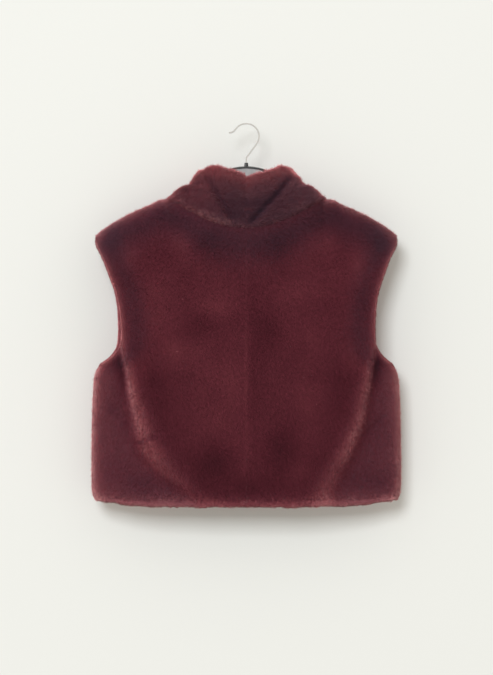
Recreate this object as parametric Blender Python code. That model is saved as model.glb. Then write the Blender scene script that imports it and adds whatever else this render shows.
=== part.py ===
"""Cropped fur gilet with a stand collar, hanging from a wire hook on a slim hanger.

The wearer faces +Y, so the back faces -Y. The origin is under the crown of the hook, where it is held.
Each cut piece is a closed wall: a grid of outer points, a grid of inner points and a rim between them.
Sizes are in millimetres until a mesh is made.
"""

import math

import bmesh
import bpy
import numpy as np

MM = 0.001

# Cloth: a fur fabric whose pile is part of the wall
WALL = 9.0
COLLAR_TOP_WALL = 12.0
SEAM_GAP = 0.3
FRONT_EDGE_GAP = 1.0
RIM_STEPS = 3
RIM_SHARE = 0.25
CORNER_SWELL = 0.75
SHARP_ANGLE = 50.0

# Neck seam: an oval in plan that dips at the centre back and further at the centre front
NECK_HALF_WIDTH = 126.0
NECK_HEIGHT = -118.0
SEAM_LEAN = 1.5
NECK_BLEND = 18.0
NECK_BLEND_START = 0.86

# Torso: the cross-section is an oval of this power, and the shoulders close it as a roof
OVAL_POWER = 2.6
ROOF_POWER = 7
HEM_CENTRE = -610.4
HEM_HALF_WIDTH = 247.0
HEM_CORNER_RISE = 8.5
HEM_CORNER_POWER = 4
UNDERARM = -388.0
EDGE_SHIFT_POWER = 0.6
EDGE_TUCK_POWER = 0.45
EDGE_TUCK_FADE = 3
SIDE_FADE_POWER = 12
PROBE = 0.5

# Grid of a half panel: columns across the neck and the shoulder, rows under and beside the armhole
NECK_COLUMNS = 10
SHOULDER_COLUMNS = 9
SIDE_ROWS = 10
ARMHOLE_ROWS = 12
COLLAR_ROWS = 10
COLLAR_BACK_FINENESS = 2

# Outer edge of a half panel, from the hem corner up to the shoulder tip
# columns: height, half width
OUTER_EDGE = (
    (-602, 238.5),
    (-597, 243.0),
    (-588, 246.5),
    (-575, 248.0),
    (-560, 248.3),
    (-480, 247.5),
    (-410, 244.5),
    (-388, 240.0),
    (-372, 219.0),
    (-356, 209.0),
    (-330, 205.0),
    (-300, 206.0),
    (-270, 210.5),
    (-240, 220.5),
    (-210, 232.5),
    (-190, 242.5),
    (-183, 243.5),
    (-176.5, 241.0),
)

# Half width of the oval that the armhole is cut out of
# columns: height, half width
ARMHOLE_OVAL = (
    (-388, 240),
    (-372, 238),
    (-340, 238),
    (-300, 243),
    (-250, 264),
    (-200, 305),
    (-176.5, 330),
)

# Shoulder seam, from the neck out to the tip
# columns: half width, height
SHOULDER = (
    (126.0, -118.0),
    (134.8, -118.6),
    (154.0, -127.0),
    (173.0, -135.1),
    (192.0, -144.2),
    (211.6, -155.2),
    (230.8, -168.0),
    (241.0, -176.5),
)

# Depth of the cloth at the centre, from the hem to the neck
# columns: share of the height, depth
BACK_DEPTH = ((0.0, 50), (0.2, 58), (0.43, 60), (0.63, 56), (0.81, 50), (0.93, 49), (1.0, 52))
FRONT_DEPTH = ((0.0, 42), (0.2, 47), (0.43, 48), (0.63, 45), (0.81, 43), (0.93, 45), (1.0, 50))

# Drape folds: a crest that runs from the underarm down and in, with the cloth outside it lying lower
# columns: height, half width of the crest, drop outside it, softness of the drop
BACK_FOLD_LEFT = (
    (-611, 62, 2, 40),
    (-585, 98, 5, 36),
    (-569, 122, 8, 32),
    (-553, 141, 11, 28),
    (-534, 157, 14, 24),
    (-513, 170, 16, 20),
    (-489, 176, 18, 17),
    (-460, 182, 19, 14),
    (-426, 189, 19, 12),
    (-394, 195, 17, 9),
    (-364, 203, 9, 7),
    (-335, 204, 0, 7),
)
BACK_FOLD_RIGHT = (
    (-611, 132, 9, 34),
    (-585, 138, 12, 30),
    (-567, 146, 14, 27),
    (-548, 155, 15, 24),
    (-527, 168, 17, 21),
    (-499, 179, 18, 18),
    (-472, 188, 18, 15),
    (-434, 195, 18, 11),
    (-413, 199, 17, 9),
    (-391, 202, 15, 8),
    (-366, 206, 9, 7),
    (-335, 207, 0, 7),
)
FRONT_FOLD = (
    (-611, 126, 6, 38),
    (-560, 150, 9, 32),
    (-500, 178, 11, 24),
    (-433, 197, 11, 18),
    (-364, 207, 4, 12),
    (-335, 209, 0, 12),
)

# Collar: how it narrows and rises at the sides, where it slumps over the shoulder
# columns: share of its height, half width, share of the rise at the sides, back depth, front depth
COLLAR_SECTIONS = (
    (0.0, 126.0, 0.0, 52.0, 50.0),
    (0.2, 114.0, 0.28, 54.5, 52.0),
    (0.4, 102.5, 0.445, 55.0, 52.5),
    (0.55, 93.5, 0.49, 53.5, 51.5),
    (0.75, 86.5, 0.73, 50.0, 50.5),
    (0.9, 80.0, 0.92, 47.0, 49.5),
    (1.0, 77.0, 1.0, 45.0, 49.0),
)
# Top edge of the collar, round from the centre front past the back, which is at no angle
# columns: angle, height
COLLAR_TOP = (
    (-180, -122),
    (-135, -94),
    (-90, -66),
    (-64, -62.5),
    (-46, -62),
    (-28, -67),
    (-17, -71),
    (-8, -75),
    (-3, -79),
    (2, -83),
    (9, -78),
    (20, -75),
    (28, -72),
    (42, -66),
    (54, -62),
    (67, -62.5),
    (90, -66),
    (135, -94),
    (180, -122),
)
COLLAR_DENT = 9.0
COLLAR_DENT_ANGLE = 27.0
COLLAR_DENT_POWER = 1.5
COLLAR_FOOT_POWER = 4
# Two creases at the back of the collar run down and in, and the cloth between them sinks in
# columns: top across, top height, foot across, foot height, trough depth, softness, way in
COLLAR_CREASES = (
    (-71, -78, -27, -148, 3.0, 8.0, 1),
    (78, -80, 17, -149, 4.0, 8.0, -1),
)
CREASE_FOOT = 0.05
CREASE_FADE = 0.14
CREASE_SIDE_FADE = 4
COLLAR_SINK = 5.0

# Hanger: a rim with an arched middle and two arms, a thin web under it, a ferrule and a wire hook
RIM_TOP = -67.0
RIM_ARC_RADIUS = 95.0
ARM_ANGLE = 36.0
ARM_LENGTH = 80.0
ARM_RUNS = 4
ARM_KNEE_RADIUS = 80.0
TIP_ANGLE = 20.5
TIP_LENGTH = 65.0
TIP_RUNS = 3
RIM_HEIGHT = 2.8
RIM_WIDTH = 9.0
WEB_THICKNESS = 2.6
WEB_HEIGHT = 26.0
WEB_TRIM = 3
FERRULE_RADIUS = 3.6
FERRULE_TAPER = 0.8
FERRULE_HEIGHT = 5.4
FERRULE_SIDES = 16
WIRE_RADIUS = 1.5
WIRE_ROUNDNESS = 2
HOOK_RADIUS = 20.5
HOOK_LEAN = 37.0
HOOK_SWEEP = 177.0
STEM_BEND_RADIUS = 8.0
HOOK_END_RUN = 5.0
HOOK_FLARE_RADIUS = 9.0
HOOK_FLARE_TURN = 50.0
HOOK_TIP_RUN = 2.0
BEND_STEP = 6.0

BACK = dict(
    toward=-1,
    centre_inset=SEAM_GAP / 2,
    open_centre=False,
    neck_depth=52.0,
    neck_dip=48.0,
    dip_power=2.4,
    depth=BACK_DEPTH,
    edge_shift=2.5,
    edge_tuck=0.0,
)
FRONT = dict(
    toward=1,
    centre_inset=FRONT_EDGE_GAP / 2 + WALL / 2,
    open_centre=True,
    neck_depth=50.0,
    neck_dip=85.0,
    dip_power=2.0,
    depth=FRONT_DEPTH,
    edge_shift=1.5,
    edge_tuck=0.0,
)
# Low in the left armhole the back's edge is tucked in, and the front's shows behind it
BACK_LEFT = dict(BACK, edge_shift=4.0, edge_tuck=7.5)
FRONT_LEFT = dict(FRONT, edge_shift=3.0)

X_AXIS = np.array([1.0, 0.0, 0.0])
Z_AXIS = np.array([0.0, 0.0, 1.0])


def through(table, at, column=1):
    """Smooth curve through a table's first column and the given one, with no overshoot between rows."""
    rows = np.array(table, float)
    x, y = rows[:, 0], rows[:, column]
    step = np.diff(x)
    rise = np.diff(y) / step
    slope = np.concatenate([rise[:1], np.zeros(len(x) - 2), rise[-1:]])
    same_way = rise[:-1] * rise[1:] > 0
    total = np.where(same_way, rise[:-1] + rise[1:], 1.0)
    slope[1:-1] = np.where(same_way, 2 * rise[:-1] * rise[1:] / total, 0.0)
    at = np.clip(at, x[0], x[-1])
    i = np.clip(np.searchsorted(x, at, side="right") - 1, 0, len(x) - 2)
    s = (at - x[i]) / step[i]
    rest = 1 - s
    ends = y[i] * rest**2 * (1 + 2 * s) + y[i + 1] * s**2 * (1 + 2 * rest)
    return ends + step[i] * s * rest * (slope[i] * rest - slope[i + 1] * s)


def unit(vectors):
    """The vectors at length one."""
    return vectors / np.linalg.norm(vectors, axis=-1, keepdims=True)


def clear_scene():
    """Removes every object of the scene."""
    for old in list(bpy.data.objects):
        bpy.data.objects.remove(old, do_unlink=True)


def finish_material(name, colour, roughness, metallic=0.0):
    """A plain Principled material."""
    material = bpy.data.materials.new(name)
    material.use_nodes = True
    shader = material.node_tree.nodes["Principled BSDF"]
    shader.inputs["Base Color"].default_value = (*colour, 1.0)
    shader.inputs["Roughness"].default_value = roughness
    shader.inputs["Metallic"].default_value = metallic
    return material


def add_mesh(name, points, faces, material):
    """Makes an object from points in millimetres, with its faces turned outwards and shaded smooth."""
    mesh = bpy.data.meshes.new(name)
    mesh.from_pydata((np.asarray(points) * MM).tolist(), [], faces)
    shape = bmesh.new()
    shape.from_mesh(mesh)
    bmesh.ops.recalc_face_normals(shape, faces=shape.faces)
    shape.to_mesh(mesh)
    shape.free()
    mesh.shade_smooth()
    mesh.set_sharp_from_angle(angle=math.radians(SHARP_ANGLE))
    mesh.materials.append(material)
    piece = bpy.data.objects.new(name, mesh)
    bpy.context.scene.collection.objects.link(piece)
    return piece


def grid_faces(rows, columns, first):
    """Four-sided faces of a grid of points numbered row by row."""
    return [
        (first + r * columns + c, first + r * columns + c + 1,
         first + (r + 1) * columns + c + 1, first + (r + 1) * columns + c)
        for r in range(rows - 1)
        for c in range(columns - 1)
    ]


def border(rows, columns):
    """Numbers of a grid's outermost points, once round."""
    number = np.arange(rows * columns).reshape(rows, columns)
    return np.concatenate([number[0], number[1:, -1], number[-1, -2::-1], number[-2:0:-1, 0]])


def add_wall(name, outer, inner, bulge, material):
    """A cloth wall: two grids joined by a rim that bulges, as half an oval, by the given vectors."""
    rows, columns, _ = outer.shape
    outside, inside = outer.reshape(-1, 3), inner.reshape(-1, 3)
    edge = border(rows, columns)
    middle = (outside[edge] + inside[edge]) / 2
    reach = outside[edge] - middle
    swell = bulge.reshape(-1, 3)[edge]
    turns = [math.pi * k / RIM_STEPS for k in range(1, RIM_STEPS)]
    rings = [middle + reach * math.cos(a) + swell * math.sin(a) for a in turns]
    count = len(outside)
    loops = [edge]
    loops += [2 * count + k * len(edge) + np.arange(len(edge)) for k in range(len(rings))]
    loops.append(count + edge)
    faces = grid_faces(rows, columns, 0) + grid_faces(rows, columns, count)
    for here, there in zip(loops[:-1], loops[1:]):
        quads = np.stack([here, np.roll(here, -1), np.roll(there, -1), there], axis=1)
        faces += [tuple(quad) for quad in quads.tolist()]
    return add_mesh(name, np.concatenate([outside, inside, *rings]), faces, material)


def grid_normals(points, before_row, after_row, before_column, after_column):
    """Normals of a grid from its neighbours, with the given points standing outside each border."""
    tall = np.concatenate([before_row[None], points, after_row[None]], axis=0)
    wide = np.concatenate([before_column[:, None], points, after_column[:, None]], axis=1)
    return unit(np.cross(wide[:, 2:] - wide[:, :-2], tall[2:] - tall[:-2]))


def beyond(edge, inside):
    """Points as far outside an edge as the given ones are inside it."""
    return 2 * edge - inside


def neck_seam(angle, face):
    """Points of the neck seam on the +X side, by angle from the face's centre towards the shoulder."""
    inset = face["centre_inset"]
    x = inset + (NECK_HALF_WIDTH - inset) * np.sin(angle)
    cosine = np.clip(np.cos(angle), 0, 1)
    y = face["toward"] * (SEAM_GAP / 2 + face["neck_depth"] * cosine)
    z = NECK_HEIGHT - face["neck_dip"] * cosine ** face["dip_power"]
    return np.stack([x, y, z], axis=-1)


def neck_seam_normal(angle, face):
    """Outward direction of the cloth along the neck seam, which leans up over the shoulder."""
    out = np.stack([
        np.sin(angle) * face["neck_depth"],
        face["toward"] * np.cos(angle) * NECK_HALF_WIDTH,
        np.zeros_like(angle),
    ], axis=-1)
    return unit(unit(out) + SEAM_LEAN * np.sin(angle)[:, None] ** 2 * Z_AXIS)


def neck_angles():
    """Angles of the columns that the panels and the collar share along the neck seam."""
    return np.linspace(0, math.pi / 2, NECK_COLUMNS + 1)


def row_heights():
    """Heights of a panel's rows at its outer edge: even up to the underarm, then closer at both ends."""
    side = np.linspace(hem_height(OUTER_EDGE[0][1]), UNDERARM, SIDE_ROWS + 1)[:-1]
    swing = (1 - np.cos(np.linspace(0, math.pi, ARMHOLE_ROWS + 1))) / 2
    tip = SHOULDER[-1][1]
    return np.concatenate([side, UNDERARM + swing * (tip - UNDERARM)])


def hem_height(x):
    """Height of the lowest row of points, half a wall above the hem, which rises to its corners."""
    return HEM_CENTRE + WALL / 2 + HEM_CORNER_RISE * (x / HEM_HALF_WIDTH) ** HEM_CORNER_POWER


def neck_sine(x, face):
    """Sine of the angle along the neck seam at a half width, held at one past the seam's end."""
    inset = face["centre_inset"]
    return np.clip((x - inset) / (NECK_HALF_WIDTH - inset), 0, 1)


def top_height(x, face):
    """Height of a panel's top edge: the neck seam, then the shoulder seam."""
    cosine = np.sqrt(1 - neck_sine(x, face) ** 2)
    neck = NECK_HEIGHT - face["neck_dip"] * cosine ** face["dip_power"]
    return np.where(x < NECK_HALF_WIDTH, neck, through(SHOULDER, x))


def oval_width(z):
    """Half width of the torso's oval: the side seam's, and above the underarm a plain one."""
    return np.where(z > UNDERARM, through(ARMHOLE_OVAL, z), through(OUTER_EDGE, z))


def fold_drop(x, z, fold):
    """How much lower the cloth lies outside a drape fold's crest."""
    crest, drop, soft = (through(fold, z, column) for column in (1, 2, 3))
    return drop * (1 + np.tanh((x - crest) / soft)) / 2


def cloth_depth(x, z, face, fold):
    """Depth of the cloth from the plane of the side seams: an oval with folds, closed by the shoulders."""
    x = abs(x)
    hem, top = hem_height(x), top_height(x, face)
    share = np.clip((z - hem) / (top - hem), 0, 1)
    out = np.clip(x / oval_width(z), 0, 1)
    oval = through(face["depth"], share) * (1 - out**OVAL_POWER) ** (1 / OVAL_POWER)
    oval = oval - fold_drop(x, z, fold) * (1 - out**SIDE_FADE_POWER)
    neck = face["neck_depth"] * np.sqrt(1 - neck_sine(x, face) ** 2)
    return np.sqrt(neck**2 + (oval**2 - neck**2) * (1 - share**ROOF_POWER))


def cloth_normals(x, z, face, fold):
    """Outward directions of the cloth from its slopes, read just inside its side and shoulder seams."""
    x = np.minimum(x, oval_width(z) - 2 * PROBE)
    z = np.minimum(z, top_height(x, face) - 2 * PROBE)
    across = cloth_depth(x + PROBE, z, face, fold) - cloth_depth(x - PROBE, z, face, fold)
    up = cloth_depth(x, z + PROBE, face, fold) - cloth_depth(x, z - PROBE, face, fold)
    return unit(np.stack([-across, np.full_like(x, 2 * PROBE * face["toward"]), -up], axis=-1))


def panel_surface(face, fold):
    """Outer points of a half panel on the +X side, its outward directions and its armhole rim's radii."""
    heights = row_heights()
    share = (heights - heights[0]) / (heights[-1] - heights[0])
    climb = np.clip((heights - UNDERARM) / (heights[-1] - UNDERARM), 0, 1)
    shift = face["edge_shift"] * np.sin(math.pi * climb**EDGE_SHIFT_POWER)
    tuck = face["edge_tuck"] * np.sin(math.pi * climb**EDGE_TUCK_POWER) ** EDGE_TUCK_FADE
    width = through(OUTER_EDGE, heights) + shift - tuck
    stand_off = cloth_depth(width, heights, face, fold) * (climb > 0)
    rim = np.minimum(WALL / 2, RIM_SHARE * stand_off)
    width = width - rim

    inset = face["centre_inset"]
    neck = neck_seam(neck_angles(), face)[:, 0]
    spread = np.sin(np.linspace(0, math.pi / 2, SHOULDER_COLUMNS + 1))[1:]
    top_x = np.concatenate([neck, NECK_HALF_WIDTH + spread * (width[-1] - NECK_HALF_WIDTH)])
    across = (top_x - inset) / (width[-1] - inset)
    x = inset + across * (width[:, None] - inset)
    hem = hem_height(x[0])
    z = hem + share[:, None] * (top_height(top_x, face) - hem)
    depth = cloth_depth(x, z, face, fold)
    depth[: SIDE_ROWS + 1, -1] = 0.0
    outer = np.stack([x, face["toward"] * (SEAM_GAP / 2 + depth), z], axis=-1)

    out = cloth_normals(x, z, face, fold)
    out[: SIDE_ROWS + 1, -1, 1] = 0.0
    out[-1, NECK_COLUMNS:, 1] = 0.0
    out[:, 0, 0] = 0.0
    lean = np.concatenate([neck_angles(), np.full(SHOULDER_COLUMNS, math.pi / 2)])
    near_neck = np.exp(-((np.clip(top_x - NECK_HALF_WIDTH, 0, None) / NECK_BLEND) ** 2))
    near_top = np.clip((share - NECK_BLEND_START) / (1 - NECK_BLEND_START), 0, 1) ** 2
    weight = (near_top[:, None] * near_neck)[..., None]
    out = unit(unit(out) * (1 - weight) + neck_seam_normal(lean, face) * weight)
    return outer, out, rim


def add_panel(name, side, face, fold, material):
    """A back or front panel, from the centre to the side seam, with an armhole edge and a shoulder seam."""
    outer, out, rim = panel_surface(face, fold)
    inner = outer - WALL * out
    bulge = np.zeros_like(outer)
    edge_way = np.gradient(outer[:, -1], axis=0)
    bulge[:, -1] = -face["toward"] * unit(np.cross(edge_way, out[:, -1])) * rim[:, None]
    if face["open_centre"]:
        bulge[:, 0] -= X_AXIS * WALL / 2
    hem_swell = unit(outer[0] - outer[1]) * WALL / 2
    bulge[0] = (bulge[0] + hem_swell) * np.where(bulge[0].any(axis=-1), CORNER_SWELL, 1.0)[:, None]
    flip = np.array([side, 1.0, 1.0])
    return add_wall(name, outer * flip, inner * flip, bulge * flip, material)


def collar_columns():
    """Angles of the collar's columns from the centre back, and its foot along the panels' neck seam."""
    quarter = neck_angles()
    back, front = neck_seam(quarter, BACK), neck_seam(quarter, FRONT)
    back[0, 0] = 0.0
    back[-1, 1] = 0.0
    half_angle = np.concatenate([quarter, math.pi - quarter[-2::-1]])
    half_foot = np.concatenate([back, front[-2::-1]])
    half_out = np.concatenate([
        neck_seam_normal(quarter, BACK),
        neck_seam_normal(quarter, FRONT)[-2::-1],
    ])
    mirror = np.array([-1.0, 1.0, 1.0])
    angle = np.concatenate([-half_angle[:0:-1], half_angle])
    foot = np.concatenate([half_foot[:0:-1] * mirror, half_foot])
    out = np.concatenate([half_out[:0:-1] * mirror, half_out])
    finer = np.concatenate([
        -half_angle[:NECK_COLUMNS:-1],
        np.linspace(-math.pi / 2, math.pi / 2, 2 * COLLAR_BACK_FINENESS * NECK_COLUMNS + 1),
        half_angle[NECK_COLUMNS + 1:],
    ])
    foot = np.stack([np.interp(finer, angle, foot[:, k]) for k in range(3)], axis=-1)
    out = unit(np.stack([np.interp(finer, angle, out[:, k]) for k in range(3)], axis=-1))
    return finer, foot, out


def collar_surface(angle, foot):
    """Outer points of the collar, ring above ring, from the neck seam to the top fold."""
    rise = np.linspace(0, 1, COLLAR_ROWS)
    half_width, side_rise, back_depth, front_depth = (
        through(COLLAR_SECTIONS, rise, column)[:, None] for column in (1, 2, 3, 4)
    )
    sine, cosine = np.sin(angle), np.cos(angle)
    at_back = cosine > 0
    inset = np.where(at_back, 0.0, FRONT["centre_inset"])
    x = np.sign(angle) * (inset + (half_width - inset) * abs(sine))
    y = -cosine * np.where(at_back, back_depth, front_depth)
    top = through(COLLAR_TOP, np.degrees(angle)) - COLLAR_TOP_WALL / 2
    climb = rise[:, None] + (side_rise - rise[:, None]) * sine**2
    z = foot[:, 2] + climb * (top - foot[:, 2])
    dent = np.exp(-((np.degrees(angle) / COLLAR_DENT_ANGLE) ** 2))
    y = y + COLLAR_DENT * dent * rise[:, None] ** COLLAR_DENT_POWER
    plain = np.stack([x, y, z], axis=-1)
    plain = plain + (foot - plain[0]) * ((1 - rise) ** 2)[:, None, None]

    trough, between = np.zeros_like(z), np.ones_like(z)
    for top_x, top_z, foot_x, foot_z, depth, soft, way_in in COLLAR_CREASES:
        run, drop = foot_x - top_x, foot_z - top_z
        aside = (plain[..., 2] - top_z) * run - (plain[..., 0] - top_x) * drop
        off = way_in * aside / math.hypot(run, drop) / soft
        trough += depth * np.exp(-(off**2))
        between *= (1 + np.tanh(off)) / 2
    strength = np.clip((rise - CREASE_FOOT) / CREASE_FADE, 0, 1)[:, None]
    strength = strength * np.clip(CREASE_SIDE_FADE * cosine, 0, 1)
    return rise, plain, strength * (trough + COLLAR_SINK * between)


def add_collar(material):
    """The stand collar: one strip round the neck, doubled at its top fold and open at the centre front."""
    angle, foot, foot_out = collar_columns()
    up = unit(np.cross(np.gradient(foot, axis=0), foot_out))
    up = up * np.sign(up[:, 2:])
    foot = foot + SEAM_GAP * up
    rise, plain, trough = collar_surface(angle, foot)
    out = -grid_normals(
        plain,
        beyond(plain[0], plain[1]),
        beyond(plain[-1], plain[-2]),
        beyond(plain[:, 0], plain[:, 1]),
        beyond(plain[:, -1], plain[:, -2]),
    )
    out = out * np.sign(np.sum(out * foot_out, axis=-1, keepdims=True))
    near_foot = ((1 - rise) ** COLLAR_FOOT_POWER)[:, None, None]
    out = unit(out * (1 - near_foot) + foot_out * near_foot)
    wall = WALL + (COLLAR_TOP_WALL - WALL) * rise[:, None, None]
    outer = plain - trough[..., None] * out
    inner = plain - wall * out

    bulge = np.zeros_like(plain)
    bulge[:, 0] = X_AXIS * WALL / 2
    bulge[:, -1] = -X_AXIS * WALL / 2
    top_swell = unit(plain[-1] - plain[-2]) * COLLAR_TOP_WALL / 2
    bulge[-1] = (bulge[-1] + top_swell) * np.where(bulge[-1].any(axis=-1), CORNER_SWELL, 1.0)[:, None]
    return add_wall("collar", outer, inner, bulge, material)


def bent_line(start, heading, moves):
    """Points along straight runs and arcs: each move is a length and the degrees it turns by."""
    points, place, way = [np.array(start, float)], np.array(start, float), math.radians(heading)
    for length, turn in moves:
        steps = max(1, math.ceil(abs(turn) / BEND_STEP))
        for _ in range(steps):
            way += math.radians(turn) / steps / 2
            place = place + length / steps * np.array([math.cos(way), math.sin(way)])
            way += math.radians(turn) / steps / 2
            points.append(place)
    return np.array(points)


def arc(radius, turn):
    """A move along an arc: its length and its turn."""
    return radius * math.radians(abs(turn)), turn


def rim_line():
    """Top line of the hanger's rim in the X, Z plane, from its left tip to its right one."""
    half = bent_line((0.0, RIM_TOP), 0.0, (
        arc(RIM_ARC_RADIUS, -ARM_ANGLE),
        *[(ARM_LENGTH / ARM_RUNS, 0.0)] * ARM_RUNS,
        arc(ARM_KNEE_RADIUS, ARM_ANGLE - TIP_ANGLE),
        *[(TIP_LENGTH / TIP_RUNS, 0.0)] * TIP_RUNS,
    ))
    return np.concatenate([half[:0:-1] * (-1, 1), half])


def add_swept(name, line, section, material):
    """Carries a section along a line in the X, Z plane; its columns are the depth below it and the Y."""
    along = unit(np.gradient(line, axis=0))
    below = np.stack([along[:, 1], -along[:, 0]], axis=-1)
    section = np.array(section, float)
    flat = line[:, None] + below[:, None] * section[:, :1]
    place = np.broadcast_to(section[:, 1], flat.shape[:2])
    points = np.stack([flat[..., 0], place, flat[..., 1]], axis=-1)
    rows, columns, _ = points.shape
    number = np.arange(rows * columns).reshape(rows, columns)
    turned = np.roll(number, -1, axis=1)
    quads = np.stack([number[:-1], turned[:-1], turned[1:], number[1:]], axis=-1).reshape(-1, 4)
    faces = [tuple(quad) for quad in quads.tolist()]
    faces += [tuple(number[0].tolist()), tuple(number[-1].tolist())]
    return add_mesh(name, points.reshape(-1, 3), faces, material)


def add_hanger(rim_material, web_material):
    """The hanger's rim, its web and the ferrule that holds the hook."""
    line = rim_line()
    half, corner = RIM_WIDTH / 2, RIM_HEIGHT / 4
    add_swept("hanger_rim", line, (
        (0, -half + corner), (0, half - corner), (corner, half), (RIM_HEIGHT - corner, half),
        (RIM_HEIGHT, half - corner), (RIM_HEIGHT, -half + corner),
        (RIM_HEIGHT - corner, -half), (corner, -half),
    ), rim_material)
    top, side = RIM_HEIGHT + SEAM_GAP, WEB_THICKNESS / 2
    add_swept("hanger_web", line[WEB_TRIM:-WEB_TRIM], (
        (top, -side), (top, side), (top + WEB_HEIGHT, side), (top + WEB_HEIGHT, -side),
    ), web_material)
    shape = bmesh.new()
    bmesh.ops.create_cone(
        shape, cap_ends=True, segments=FERRULE_SIDES, radius1=FERRULE_RADIUS * MM,
        radius2=FERRULE_RADIUS * FERRULE_TAPER * MM, depth=FERRULE_HEIGHT * MM,
    )
    mesh = bpy.data.meshes.new("hanger_ferrule")
    shape.to_mesh(mesh)
    shape.free()
    mesh.materials.append(rim_material)
    ferrule = bpy.data.objects.new("hanger_ferrule", mesh)
    ferrule.location.z = (RIM_TOP + SEAM_GAP + FERRULE_HEIGHT / 2) * MM
    bpy.context.scene.collection.objects.link(ferrule)


def hook_line():
    """Centre line of the hook's wire in the X, Z plane, from the ferrule up and over to its tip."""
    foot = RIM_TOP + FERRULE_HEIGHT + 2 * SEAM_GAP
    lean, crown = math.radians(HOOK_LEAN), WIRE_RADIUS - HOOK_RADIUS
    run_x = HOOK_RADIUS * math.cos(lean) - STEM_BEND_RADIUS * (1 - math.cos(lean))
    run = run_x / math.sin(lean)
    arc_start = crown - HOOK_RADIUS * math.sin(lean)
    stem = arc_start - run * math.cos(lean) - STEM_BEND_RADIUS * math.sin(lean) - foot
    return bent_line((0.0, foot), 90.0, (
        (stem, 0.0),
        arc(STEM_BEND_RADIUS, -HOOK_LEAN),
        (run, 0.0),
        arc(HOOK_RADIUS, HOOK_SWEEP),
        (HOOK_END_RUN, 0.0),
        arc(HOOK_FLARE_RADIUS, -HOOK_FLARE_TURN),
        (HOOK_TIP_RUN, 0.0),
    ))


def add_hook(material):
    """The wire hook: a round wire along its centre line."""
    line = hook_line() * MM
    curve = bpy.data.curves.new("hanger_hook", "CURVE")
    curve.dimensions = "3D"
    curve.bevel_depth = WIRE_RADIUS * MM
    curve.bevel_resolution = WIRE_ROUNDNESS
    curve.use_fill_caps = True
    spline = curve.splines.new("POLY")
    spline.points.add(len(line) - 1)
    for point, (x, z) in zip(spline.points, line):
        point.co = (x, 0.0, z, 1.0)
    curve.materials.append(material)
    hook = bpy.data.objects.new("hanger_hook", curve)
    bpy.context.scene.collection.objects.link(hook)


def main():
    """Builds every piece."""
    clear_scene()
    fur = finish_material("burgundy_fur", (0.075, 0.016, 0.024), 0.95)
    add_panel("back_left", -1, BACK_LEFT, BACK_FOLD_LEFT, fur)
    add_panel("back_right", 1, BACK, BACK_FOLD_RIGHT, fur)
    add_panel("front_left", -1, FRONT_LEFT, FRONT_FOLD, fur)
    add_panel("front_right", 1, FRONT, FRONT_FOLD, fur)
    add_collar(fur)
    dark = finish_material("dark_plastic", (0.012, 0.012, 0.014), 0.4)
    grey = finish_material("grey_plastic", (0.36, 0.36, 0.37), 0.5)
    add_hanger(dark, grey)
    add_hook(finish_material("bright_wire", (0.75, 0.75, 0.76), 0.15, 1.0))


main()
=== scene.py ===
"""Looks of a cropped fur gilet that hangs from the wire hook of a slim hanger.

Each cut piece is a thin backing cloth with a fur pile on it. Both follow the piece's solid: the tips of the
pile reach its outer face and the backing lies along its inner face. Lengths are in millimetres until a mesh
is made. The wearer faces +Y, so the back faces -Y, and the origin is under the crown of the hook.
"""

import itertools
import math

import bpy
import numpy as np
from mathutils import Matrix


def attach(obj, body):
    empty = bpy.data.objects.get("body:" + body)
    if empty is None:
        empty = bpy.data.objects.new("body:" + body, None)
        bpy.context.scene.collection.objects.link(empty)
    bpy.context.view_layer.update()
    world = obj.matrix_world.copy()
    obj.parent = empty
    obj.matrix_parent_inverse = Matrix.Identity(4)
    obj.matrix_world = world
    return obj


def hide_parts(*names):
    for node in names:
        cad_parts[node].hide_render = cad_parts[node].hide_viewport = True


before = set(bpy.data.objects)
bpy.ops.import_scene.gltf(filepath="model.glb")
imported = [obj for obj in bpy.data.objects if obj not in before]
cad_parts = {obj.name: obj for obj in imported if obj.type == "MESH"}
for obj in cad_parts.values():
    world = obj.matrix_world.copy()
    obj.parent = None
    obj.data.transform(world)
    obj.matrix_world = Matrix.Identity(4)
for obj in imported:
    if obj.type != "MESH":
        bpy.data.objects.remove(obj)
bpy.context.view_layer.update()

MM = 0.001

# Cloth: a backing with a pile on it, as thick together as the solid's wall
WALL = 9.0
COLLAR_TOP_WALL = 12.0
SEAM_GAP = 0.04
FRONT_EDGE_GAP = 1.0
PILE_DEPTH = 3.2
EDGE_DEPTH = 1.8
ROOT_SINK = 0.4
BACKING_INSET = 0.3
RIM_SHARE = 0.25
CORNER_SWELL = 0.75

# Neck seam: an oval in plan that dips at the centre back and further at the centre front
NECK_HALF_WIDTH = 126.0
NECK_HEIGHT = -118.0
SEAM_LEAN = 1.5
NECK_BLEND = 18.0
NECK_BLEND_START = 0.86

# Torso: the cross-section is an oval of this power, and the shoulders close it as a roof
OVAL_POWER = 2.6
ROOF_POWER = 7
HEM_CENTRE = -610.4
HEM_HALF_WIDTH = 247.0
HEM_CORNER_POWER = 4
HEM_WAVE = 0.9
HEM_WAVE_LENGTHS = (9.0, 23.0)
UNDERARM = -388.0
EDGE_SHIFT_POWER = 0.6
EDGE_TUCK_POWER = 0.45
EDGE_TUCK_FADE = 3
SIDE_FADE_POWER = 12
PROBE = 0.5

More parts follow.
